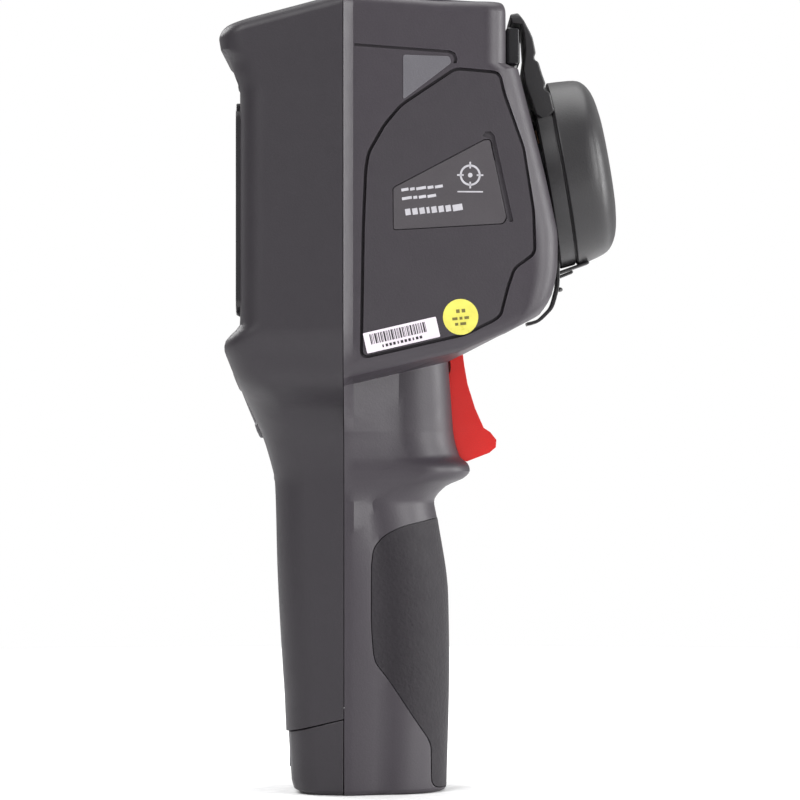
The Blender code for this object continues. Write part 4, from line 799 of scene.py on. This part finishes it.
PANEL = [
    (-0.0177, 0.1335), (0.0132, 0.1405), (0.0219, 0.1447), (0.0239, 0.1462), (0.0260, 0.1544),
    (0.0281, 0.1604), (0.0343, 0.1648), (0.0339, 0.1772), (0.0309, 0.1962), (0.0249, 0.2125),
    (0.0235, 0.2185), (0.0106, 0.2195), (-0.0058, 0.2085), (-0.0108, 0.2026), (-0.0156, 0.1942),
    (-0.0164, 0.1891), (-0.0171, 0.1720),
]
LABEL = [
    (-0.0084, 0.1714), (0.0251, 0.1735), (0.0261, 0.1753), (0.0211, 0.1987), (0.0194, 0.1987),
    (-0.0085, 0.1840),
]
TRIM = [(-0.0055, 0.2105), (0.0092, 0.2217), (0.0086, 0.2237), (-0.0055, 0.2240)]
PAD = [
    (0.0035, 0.0016), (0.0188, 0.0016), (0.0188, 0.0850), (0.0054, 0.0840), (-0.0005, 0.0828),
    (-0.0060, 0.0815), (-0.0110, 0.0790), (-0.0143, 0.0753), (-0.0149, 0.0701), (-0.0149, 0.0512),
    (-0.0143, 0.0431), (-0.0136, 0.0403), (-0.0085, 0.0335), (-0.0023, 0.0239), (0.0023, 0.0171),
    (0.0033, 0.0146),
]
# The groove over the trim, from the seam to the trim's front corner and round it.
TOP_GROOVE = [
    (-0.0203, 0.2264), (0.0084, 0.2246), (0.0096, 0.2240), (0.0101, 0.2228), (0.0098, 0.2216),
    (0.0108, 0.2216), (0.0111, 0.2229), (0.0104, 0.2247), (0.0088, 0.2255), (-0.0203, 0.2273),
]
# The step in the side panel in front of the label and above it.
LABEL_STEP = [
    (0.0185, 0.1998), (0.0196, 0.2012), (0.0212, 0.2012), (0.0224, 0.2000), (0.0282, 0.1742),
    (0.0272, 0.1738), (0.0262, 0.1752), (0.0214, 0.1988),
]
GROOVE = 0.0010
PANEL_CORNER = 0.0018
LABEL_CORNER = 0.0008
PAD_CORNER = 0.003
SHELL_SHARP = 26.0
SHELL_BEVEL = 34.0
SHELL_WIDTH = 0.00035
# How far a cutter stands out of the surface it cuts.
CLEAR = 0.01


def pad_layer(depth):
    rings = []
    for z in [-0.010] + spaced(0.0020, 0.0890, 0.0029) + [0.1086]:
        half = smooth_at(SEAM_HALF_LINE, z)
        x_front = smooth_at(GRIP_FRONT_LINE, max(0.0, min(z, 0.0890)))
        rings.append(front_ring(x_front, half, half, half - 0.0035, 0.0190, level(z), depth))
    return loft(rings)


def make_shells():
    optics = optics_place()
    front = loft(front_rings())
    cutters = [loft(front_rings(WALL))]
    panel = grown(rounded_outline(PANEL, PANEL_CORNER), GROOVE)
    trim = grown(rounded_outline(TRIM, LABEL_CORNER), 0.0002)
    for sign in (-1, 1):
        for points, depth in ((panel, 0.0019), (trim, 0.0015), (TOP_GROOVE, 0.0010)):
            cutters.append(on_side(points, sign, -depth, CLEAR))
    cutters.append(moved(cylinder(0.0188, -0.02, 0.02, 64), optics))
    cutters.append(moved(cylinder(0.0051, -0.01, 0.02, 32), Matrix.Translation((-0.0085, 0, 0))))
    cutters.append(block((-0.0015, -0.0081, 0.0992), (0.0252, 0.0081, 0.1386)))
    outline = prism(grown(rounded_outline(PAD, PAD_CORNER), 0.0003), -HEAD_HALF, HEAD_HALF)
    cutters.append(carved(moved(outline, side_view()), [pad_layer(0.0016)]))
    front = carved(front, cutters)
    housing = shaped("front_housing", front, "grey_shell", SHELL_SHARP, stands_for=("front_shell",))
    bevel(housing, SHELL_WIDTH, 2, SHELL_BEVEL)

    outline = moved(prism(rounded_outline(PAD, PAD_CORNER), -HEAD_HALF, HEAD_HALF), side_view())
    pad = carved(carved(pad_layer(-0.00005), [outline], "INTERSECT"), [pad_layer(0.0013)])
    bevel(shaped("grip_pad", pad, "grip_rubber", stands_for=("front_grip_pad",)), 0.00045, 3, SHELL_BEVEL)

    rear = loft(rear_rings())
    cutters = [loft(rear_rings(WALL))]
    low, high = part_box("display_bezel")
    gap = 0.0002
    right, left, bottom, top = low.y - gap, high.y + gap, low.z - gap, high.z + gap
    bezel = rounded_outline([(right, bottom), (left, bottom), (left, top), (right, top)], 0.0042, 8)
    cutters.append(moved(prism(bezel, -0.07, -0.0505), end_view()))
    key = keypad_place()
    high_u, low_u, wide, narrow, off = 0.0141, -0.0131, 0.0243, 0.0158, 0.0030
    half = [(low_u, narrow - off), (low_u + off, narrow), (high_u - off, wide), (high_u, wide - off)]
    outline = half + [(u, -v) for u, v in reversed(half)]
    # The exact solver leaves the housing uncut here.
    rear = carved(rear, [moved(prism(outline, -0.0070, 0.0060), key)], solver="FAST")
    slope = math.atan2(0.0102, 0.0349)
    flap = matrix((-0.0381, 0, top_height(-0.0381)), (math.cos(slope), 0, math.sin(slope)),
                  (-math.sin(slope), 0, math.cos(slope)))
    flap_outline = rounded_outline(rectangle((0, 0), 0.0251, 0.0346), 0.0015)
    cutters.append(moved(prism(flap_outline, -0.0013, CLEAR), flap))
    cutters.append(moved(prism(rectangle((0, 0), 0.0161, 0.0276), -CLEAR, CLEAR), flap))
    for number in range(1, 5):
        low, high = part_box(f"housing_screw_{number}")
        centre = (low + high) / 2
        turned = Matrix.Translation((low.x, centre.y, centre.z)) @ Matrix.Rotation(math.radians(90), 4, "Y")
        cutters.append(moved(cylinder(0.0031, -CLEAR, 0.0022, 32), turned))
        cutters.append(moved(cylinder(0.0017, -CLEAR, 0.0140, 24), turned))
    rear = carved(rear, cutters)
    housing = shaped("rear_housing", rear, "dark_shell", SHELL_SHARP, stands_for=("rear_shell",))
    bevel(housing, SHELL_WIDTH, 2, SHELL_BEVEL)


def keypad_place():
    """Local X runs up the key face, local Y is the camera's Y, and local Z points out of the face."""
    slope = math.atan2(0.0109, 0.0265)
    c, s = math.cos(slope), math.sin(slope)
    return matrix((-0.05255 + 0.0009 * c, 0, 0.11825 + 0.0009 * s), (-s, 0, c), (-c, 0, -s))


make_shells()


def make_side_skins():
    panel = rounded_outline(PANEL, PANEL_CORNER)
    label = rounded_outline(LABEL, LABEL_CORNER)
    for side, sign in (("right", -1), ("left", 1)):
        recess = on_side(grown(label, 0.00025), sign, -0.0009, CLEAR)
        step = on_side(LABEL_STEP, sign, -0.0007, CLEAR)
        skin = carved(on_side(panel, sign, -0.0016, 0.0001), [recess, step])
        plate = on_side(label, sign, -0.0009, -0.0002)
        trim = on_side(rounded_outline(TRIM, LABEL_CORNER), sign, -0.0014, 0.0002)
        # The corner trim and the label plate carry painted highlights in their paler colours.
        for name, bm, material, node, width, segments in (
                ("side_skin_", skin, "side_panel", "side_panel_", 0.00060, 3),
                ("label_", plate, "label_plate", "label_plate_", 0.00015, 2),
                ("corner_trim_", trim, "side_trim", "side_trim_", 0.00020, 2)):
            bevel(shaped(name + side, bm, material, stands_for=(node + side,)), width, segments)


make_side_skins()

# ---------------------------------------------------------------- lens cap, tab and strap

CAP_TILT = math.radians(10.0)
CAP_RADIUS = 0.0286
CAP_DEPTH = 0.0210
CAP_RISE = 0.0020
CAP_STEPS = 96

# The tab over the window block from the side, as (x, z) from the housing's shoulder.
TAB = [
    (-0.0023, 0.0175), (0.0002, 0.0180), (0.0020, 0.0156), (0.0028, 0.0141), (0.0040, 0.0118),
    (0.0046, 0.0104), (0.0052, 0.0078), (0.0056, 0.0056), (0.0051, 0.0046), (0.0053, 0.0036),
    (0.0064, 0.0030), (0.0074, -0.0003), (0.0078, -0.0015), (0.0086, -0.0036), (0.0082, -0.0048),
    (0.0087, -0.0056), (0.0100, -0.0065), (0.0108, -0.0100), (0.0113, -0.0119), (0.0085, -0.0150),
    (0.0056, -0.0130), (0.0041, -0.0086), (0.0024, -0.0037), (0.0017, 0.0007), (0.0024, 0.0060),
    (0.0020, 0.0118), (0.0013, 0.0144), (-0.0019, 0.0149),
]


def cap_ring(share, radius):
    normal = Vector((math.cos(CAP_TILT), 0, math.sin(CAP_TILT)))
    up = Vector((-math.sin(CAP_TILT), 0, math.cos(CAP_TILT)))
    centre = Vector(OPTICS_MIDDLE) + normal * CAP_DEPTH * share + up * CAP_RISE * share
    return [centre + up * radius * math.cos(a) + Vector((0, 1, 0)) * radius * math.sin(a)
            for a in (2 * math.pi * i / CAP_STEPS for i in range(CAP_STEPS))]


def make_cap():
    # Distance along the cap as a share of its depth, and how far its radius is from CAP_RADIUS.
    outer = [
        (0.030, -0.0016), (0.034, -0.0009), (0.050, -0.0005), (0.240, -0.0005), (0.262, -0.0006),
        (0.272, -0.0010), (0.284, -0.0010), (0.294, -0.0003), (0.312, 0.0001), (0.450, -0.0003),
        (0.620, -0.0009), (0.700, -0.0013), (0.760, -0.0018), (0.800, -0.0024), (0.845, -0.0034),
        (0.880, -0.0045), (0.915, -0.0060), (0.945, -0.0080), (0.965, -0.0102), (0.975, -0.0118),
        (0.982, -0.0128), (0.984, -0.0140), (0.980, -0.0150), (0.978, -0.0170), (0.984, -0.0220),
        (0.988, -0.0260),
    ]
    inner = [
        (0.880, -0.0280), (0.880, -0.0160), (0.860, -0.0080), (0.750, -0.0036), (0.600, -0.0029),
        (0.060, -0.0024), (-0.2, -0.0024),
    ]
    body = ring_surface([cap_ring(share, CAP_RADIUS + less) for share, less in outer])
    room = ring_surface([cap_ring(share, CAP_RADIUS + less) for share, less in inner])
    cap = shaped("cap_drum", carved(body, [room]), "cap_rubber", 34.0, "lens_cap", ("lens_cap",))
    bevel(cap, 0.0002, 2, 50.0)

    front, top = SHOULDER_X, SHOULDER_Z
    tab = [(front + x, top + z) for x, z in TAB]
    half = 0.0220
    bm = moved(prism(tab, -half, half), side_view())
    grooves = []
    for side in (-1, 1):
        out, high = side * (half + 0.002), top + 0.0250
        corner = [(out, top + 0.0140), (out, high), (side * (half - 0.0060), high)]
        grooves.append(moved(prism(corner[::side], front - 0.02, front + 0.03), end_view()))
    bevel(shaped("cap_tab", carved(bm, grooves), "cap_rubber", body="lens_cap"), 0.00045, 3, 20.0)

    base = Vector(OPTICS_MIDDLE) + Vector((math.sin(CAP_TILT), 0, -math.cos(CAP_TILT))) * CAP_RADIUS
    tongues = []
    for start, end, half in (((base.x - 0.0004, base.z - 0.0008), (0.0519, 0.1629), 0.0070),
                             ((base.x - 0.0006, base.z - 0.0022), (0.0470, 0.1600), 0.0052)):
        steps = 8
        path = [(start[0] + (end[0] - start[0]) * i / steps, start[1] + (end[1] - start[1]) * i / steps)
                for i in range(steps + 1)]
        outline = [(x, z + 0.00045) for x, z in path] + [(x + 0.0002, z - 0.00045) for x, z in reversed(path)]
        tongues.append(moved(prism(outline, -half, half), side_view()))
    bevel(shaped("cap_tongues", merged(tongues), "cap_rubber", body="lens_cap"), 0.00035, 3, 30.0)


BAND_SECTIONS = 10
BAND_STEPS = 6


def band(path, thickness, half, name):
    """A strap of even thickness along (x, z) points, split across its width so that it can bend."""
    curve = []
    for i in range(len(path) - 1):
        p0, p1 = Vector(path[max(0, i - 1)]), Vector(path[i])
        p2, p3 = Vector(path[i + 1]), Vector(path[min(len(path) - 1, i + 2)])
        for k in range(BAND_STEPS):
            t = k / BAND_STEPS
            curve.append(0.5 * ((2 * p1) + (p2 - p0) * t + (2 * p0 - 5 * p1 + 4 * p2 - p3) * t ** 2
                                + (3 * p1 - p0 - 3 * p2 + p3) * t ** 3))
    curve.append(Vector(path[-1]))
    rows = []
    for i, point in enumerate(curve):
        ahead = (curve[min(i + 1, len(curve) - 1)] - curve[max(i - 1, 0)]).normalized()
        across = Vector((-ahead.y, ahead.x)) * thickness / 2
        row = []
        inner = [-half + 2 * half * k / BAND_SECTIONS for k in range(1, BAND_SECTIONS)]
        profile = [(-half, -1.0), (-half, 1.0)] + [(y, 1.0) for y in inner]
        profile += [(half, 1.0), (half, -1.0)] + [(-y, -1.0) for y in inner]
        for y, side in profile:
            q = point + across * side
            row.append((q.x, y, q.y))
        rows.append(row)
    return from_bmesh(ring_surface(rows), name, 34.0)


def make_strap():
    path = [
        (0.0352, 0.2070), (0.0374, 0.2005), (0.0391, 0.1930), (0.0406, 0.1850), (0.0416, 0.1770),
        (0.0421, 0.1690), (0.0424, 0.1620), (0.0423, 0.1560), (0.0416, 0.1525), (0.0405, 0.1491),
        (0.0388, 0.1470), (0.0365, 0.1449), (0.0345, 0.1441), (0.0328, 0.1437),
    ]
    strap = piece("cap_strap", band(path, 0.0010, 0.0090, "cap_strap"), "cap_rubber", None,
                  stands_for=("cap_strap_anchor",))
    bevel(strap, 0.00018, 2, 50.0)
    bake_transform(strap)
    nub = bmesh.new()
    bmesh.ops.create_uvsphere(nub, u_segments=24, v_segments=14, radius=0.0010)
    nub.transform(Matrix.Translation((0.0431, 0, 0.1545)) @ Matrix.Diagonal((1.0, 4.0, 0.75, 1.0)))
    shaped("strap_nub", nub, "cap_rubber", 60.0, "lens_cap")
    line = [(0.0352, 0.2030), (0.0378, 0.1930), (0.0394, 0.1850), (0.0405, 0.1775)]
    piece("nose_seal_line", band(line, 0.00035, 0.0150, "nose_seal_line"), "cap_line")


make_cap()
make_strap()

# ---------------------------------------------------------------- stickers and printed marks


# Heights out of the flat side of a sticker, of the ink on it and of the ink on the label.
STICKER = (0.0001, 0.00022)
STICKER_INK = (0.00023, 0.00026)
LABEL_INK = (-0.00019, -0.00016)


def printed(name, outlines, sign, heights, material):
    parts = [on_side(points, sign, *heights) for points in outlines]
    shaped(name, merged(parts), material)


def make_stickers():
    turn = math.radians(13.0)
    centre = (-0.0060, 0.1398)
    sheet = rounded_outline(rectangle(centre, 0.0228, 0.0062, turn), 0.0003)
    bevel(shaped("barcode_sheet", on_side(sheet, -1, *STICKER), "paper_label", stands_for=("barcode_label",)),
          0.00004, 1)

    def at(u, v, width, height):
        c, s = math.cos(turn), math.sin(turn)
        return rectangle((centre[0] + u * c - v * s, centre[1] + u * s + v * c), width, height, turn)

    bars = []
    widths = [2, 1, 1, 3, 1, 2, 2, 1, 3, 1, 1, 2, 3, 1, 2, 1, 1, 3, 2, 1, 1, 2, 1, 3, 1, 2, 2, 1, 1, 2, 3, 1]
    unit = 0.000165
    u = -0.0096
    for i, width in enumerate(widths):
        bars.append(at(u + width * unit / 2, 0.0008, width * unit, 0.0031))
        u += (width + (2 if i % 3 else 1)) * unit
    for k in range(11):
        bars.append(at(-0.0062 + k * 0.00118, -0.0019, 0.00075 if k % 4 else 0.00045, 0.00085))
    printed("barcode_bars", bars, -1, STICKER_INK, "label_ink")

    centre_round = (0.0120, 0.1453)
    disc = circle(centre_round, 0.0054, 64)
    bevel(shaped("round_disc", on_side(disc, -1, *STICKER), "round_sticker",
                 stands_for=("inspection_sticker",)), 0.00004, 1)
    marks = []
    tilt = math.radians(6)
    for row, (lengths, v) in enumerate((((0.0011, 0.0011), 0.0018), ((0.0016, 0.0009, 0.0014), -0.0004),
                                        ((0.0010, 0.0018), -0.0021))):
        gap = 0.0006
        u = -(sum(lengths) + gap * (len(lengths) - 1)) / 2
        for length in lengths:
            middle = u + length / 2
            marks.append(rectangle((centre_round[0] + middle, centre_round[1] + v + middle * tilt),
                                   length, 0.00085 if row else 0.0011, tilt))
            u += length + gap
    printed("round_marks", marks, -1, STICKER_INK, "sticker_ink")


# Start of each row of dashes, their lengths, their height and the gap between them.
DASH_ROWS = [
    (-0.0060, 0.1834, (0.0022, 0.0014, 0.0030, 0.0018, 0.0024), 0.00085, 0.0005),
    (-0.0058, 0.1808, (0.0030, 0.0012, 0.0022, 0.0026), 0.00085, 0.0005),
    (-0.0048, 0.1767, (0.0016, 0.0016, 0.0016, 0.0009, 0.0016, 0.0016, 0.0016, 0.0030), 0.0019, 0.0006),
]
# The dashes climb less than they turn, as the label's own lines do.
DASH_TURN = math.radians(10)
DASH_CLIMB = 0.55


def make_label_marks():
    """Plain rows of dashes and a target ring where a maker would print its own."""
    for side, sign in (("right", -1), ("left", 1)):
        marks = []
        for x, z, lengths, height, gap in DASH_ROWS:
            u = 0.0
            for length in lengths:
                middle = u + length / 2
                centre = (x + middle * math.cos(DASH_TURN), z + middle * math.sin(DASH_TURN) * DASH_CLIMB)
                marks.append(rectangle(centre, length, height, DASH_TURN))
                u += length + gap
        printed("label_dashes_" + side, marks, sign, LABEL_INK, "mark_ink")
        centre = (0.0150, 0.1880)
        parts = [carved(on_side(circle(centre, 0.0032), sign, *LABEL_INK),
                        [on_side(circle(centre, 0.0026), sign, -0.001, 0.001)])]
        for k in range(4):
            a = math.pi / 2 * k
            middle = (centre[0] + 0.0030 * math.cos(a), centre[1] + 0.0030 * math.sin(a))
            parts.append(on_side(rectangle(middle, 0.0020, 0.0005, a), sign, *LABEL_INK))
        parts.append(on_side(circle(centre, 0.0007, 20), sign, *LABEL_INK))
        line = rectangle((centre[0], centre[1] - 0.0050), 0.0078, 0.0004)
        parts.append(on_side(line, sign, *LABEL_INK))
        shaped("label_target_" + side, merged(parts), "mark_ink")


make_stickers()
make_label_marks()

# ---------------------------------------------------------------- screws, keys and display


def facing_back(x):
    """Local X is the camera's -Y, local Y is up, and local Z points out of the back, from this X."""
    return Matrix(((0, 0, -1, x), (-1, 0, 0, 0), (0, 1, 0, 0), (0, 0, 0, 1)))


def lathe(profile, steps=48):
    """A body turned about local Z through (radius, height) points that run from axis to axis."""
    bm = bmesh.new()
    rings = []
    for radius, height in profile:
        if radius == 0.0:
            rings.append([bm.verts.new((0, 0, height))])
        else:
            rings.append([bm.verts.new((x, y, height)) for x, y in circle((0, 0), radius, steps)])
    for one, two in zip(rings, rings[1:]):
        for i in range(steps):
            j = (i + 1) % steps
            if len(one) == 1:
                bm.faces.new((one[0], two[j], two[i]))
            elif len(two) == 1:
                bm.faces.new((one[i], one[j], two[0]))
            else:
                bm.faces.new((one[i], one[j], two[j], two[i]))
    bmesh.ops.recalc_face_normals(bm, faces=bm.faces)
    return bm


def make_screws():
    for number in range(1, 5):
        low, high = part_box(f"housing_screw_{number}")
        middle = (low + high) / 2
        turned = Matrix.Rotation(math.radians(-90), 4, "Y")
        place = Matrix.Translation((low.x + 0.0001, middle.y, middle.z)) @ turned
        head = lathe([(0.0, 0.0), (0.0012, 0.0), (0.0021, -0.0002), (0.0026, -0.0006), (0.0026, -0.0018),
                      (0.0013, -0.0020), (0.0013, -0.0135), (0.0, -0.0135)])
        cross = [block((-0.0015, -0.0003, -0.0011), (0.0015, 0.0003, 0.001)),
                 block((-0.0003, -0.0015, -0.0011), (0.0003, 0.0015, 0.001))]
        for cutter in cross:
            cutter.transform(Matrix.Rotation(math.radians(20 + 37 * number), 4, "Z"))
        screw = shaped(f"screw_{number}", moved(carved(head, cross), place), "screw_steel",
                       stands_for=(f"housing_screw_{number}",))
        bevel(screw, 0.00008, 1)


def icon(name, outlines, place, low, body):
    parts = [moved(prism(points, low, low + 0.00004), place) for points in outlines]
    shaped(name, merged(parts), "icon_ink", body=body)


def ring_outline(centre, outer, inner, start, end, steps=28):
    """An open ring from one angle to another, as one outline."""
    return arc(centre, outer, start, end, steps) + arc(centre, inner, start, end, steps)[::-1]


def triangle(centre, size, turn):
    return [(centre[0] + size * math.cos(turn + a), centre[1] + size * math.sin(turn + a))
            for a in (0, 2 * math.pi / 3, 4 * math.pi / 3)]


def make_keys():
    place = keypad_place()
    top = 0.00162
    reach, size = 0.0077, 0.0011
    arrows = [triangle((reach * math.cos(a), reach * math.sin(a)), size, a)
              for a in (0, math.pi / 2, math.pi, 3 * math.pi / 2)]
    slope = 0.0007 / 0.0052
    lifted = []
    for points in arrows:
        radius = math.hypot(sum(p[0] for p in points) / 3, sum(p[1] for p in points) / 3)
        height = top - slope * max(0.0, 0.0095 - radius - size)
        lifted.append(moved(prism(points, 0.0, 0.00005), place @ Matrix.Translation((0, 0, height))))
    shaped("nav_arrows", merged(lifted), "icon_ink", body="nav_ring")
    halves = [ring_outline((0, 0), 0.0019, 0.0015, start, start + 180) for start in (0, 180)]
    icon("ok_ring", halves, place, top, "ok_key")
    power = [ring_outline((0.0085, -0.0178), 0.0015, 0.0011, 35, 325),
             rectangle((0.0098, -0.0178), 0.0016, 0.0004)]
    icon("power_icon", power, place, top, "upper_right_key")
    play = [triangle((0.0085, 0.0178), 0.0014, math.pi / 2)]
    icon("gallery_icon", play, place, top, "upper_left_key")
    back = [rectangle((-0.0078, -0.0128), 0.0004, 0.0022), triangle((-0.0078, -0.0141), 0.0008, -math.pi / 2)]
    icon("return_icon", back, place, top, "lower_right_key")
    lamp = [circle((-0.0078, 0.0128), 0.0007, 24)] + [
        rectangle((-0.0078 + 0.0013 * math.cos(a), 0.0128 + 0.0013 * math.sin(a)), 0.0006, 0.00025, a)
        for a in (k * math.pi / 4 for k in range(8))]
    icon("lamp_icon", lamp, place, top, "lower_left_key")


def make_display():
    low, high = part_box("display_window")
    place = facing_back(low.x)
    middle_z = (low.z + high.z) / 2
    outline = rounded_outline(rectangle((0, middle_z), 0.0708, 0.0528), 0.0010)
    shaped("display_active", moved(prism(outline, 0.00001, 0.00004), place), "display_glass")
    dots = [moved(prism(circle((0.0345 - k * 0.0024, low.z - 0.0022), 0.00045, 20), 0.0, 0.0001),
                  facing_back(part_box("display_bezel")[0].x)) for k in range(2)]
    shaped("bezel_lamps", merged(dots), "icon_ink")


make_screws()
make_keys()
make_display()

# ---------------------------------------------------------------- floor, light and camera


def make_floor():
    mesh = bpy.data.meshes.new("floor")
    bm = bmesh.new()
    bmesh.ops.create_circle(bm, cap_ends=True, segments=128, radius=0.80)
    bm.to_mesh(mesh)
    bm.free()
    floor = linked("floor", mesh)
    floor.location = (0, 0, -0.0001)
    mesh.materials.append(M["floor"])


def area_light(name, place, target, size, energy):
    data = bpy.data.lights.new(name, "AREA")
    data.shape = "RECTANGLE"
    data.size, data.size_y = size
    data.energy = energy
    light = linked(name, data)
    light.location = place
    light.rotation_euler = (Vector(target) - Vector(place)).to_track_quat("-Z", "Y").to_euler()


def make_light():
    world = bpy.data.worlds.new("studio")
    bpy.context.scene.world = world
    world.use_nodes = True
    nodes, links = world.node_tree.nodes, world.node_tree.links
    background = nodes["Background"]
    white = nodes.new("ShaderNodeBackground")
    for node, strength in ((background, 0.40), (white, 1.0)):
        node.inputs["Color"].default_value = (1.0, 1.0, 1.0, 1.0)
        node.inputs["Strength"].default_value = strength
    mixer = nodes.new("ShaderNodeMixShader")
    links.new(nodes.new("ShaderNodeLightPath").outputs["Is Camera Ray"], mixer.inputs[0])
    links.new(background.outputs[0], mixer.inputs[1])
    links.new(white.outputs[0], mixer.inputs[2])
    links.new(mixer.outputs[0], nodes["World Output"].inputs["Surface"])
    area_light("key", (-0.70, -1.15, 1.10), (0, 0, 0.14), (0.7, 0.7), 17.0)
    area_light("right", (1.25, -0.80, 0.45), (0, 0, 0.13), (0.4, 1.2), 18.0)
    area_light("rim", (1.30, 0.17, 0.17), (0, 0, 0.15), (0.16, 1.1), 16.0)
    area_light("top", (0.1, 0.35, 1.5), (0, 0, 0.10), (1.3, 1.3), 18.0)
    area_light("back", (-1.0, 0.9, 0.9), (0, 0, 0.13), (0.6, 0.6), 12.0)


def make_camera():
    data = bpy.data.cameras.new("camera")
    data.lens = 203.2
    data.sensor_width = 36.0
    data.clip_end = 30.0
    camera = linked("camera", data)
    camera.location = (-0.00636, -1.4, 0.1203)
    camera.rotation_euler = (math.radians(90), 0, 0)
    bpy.context.scene.camera = camera


make_floor()
make_light()
make_camera()
bpy.context.scene.view_settings.view_transform = "Standard"
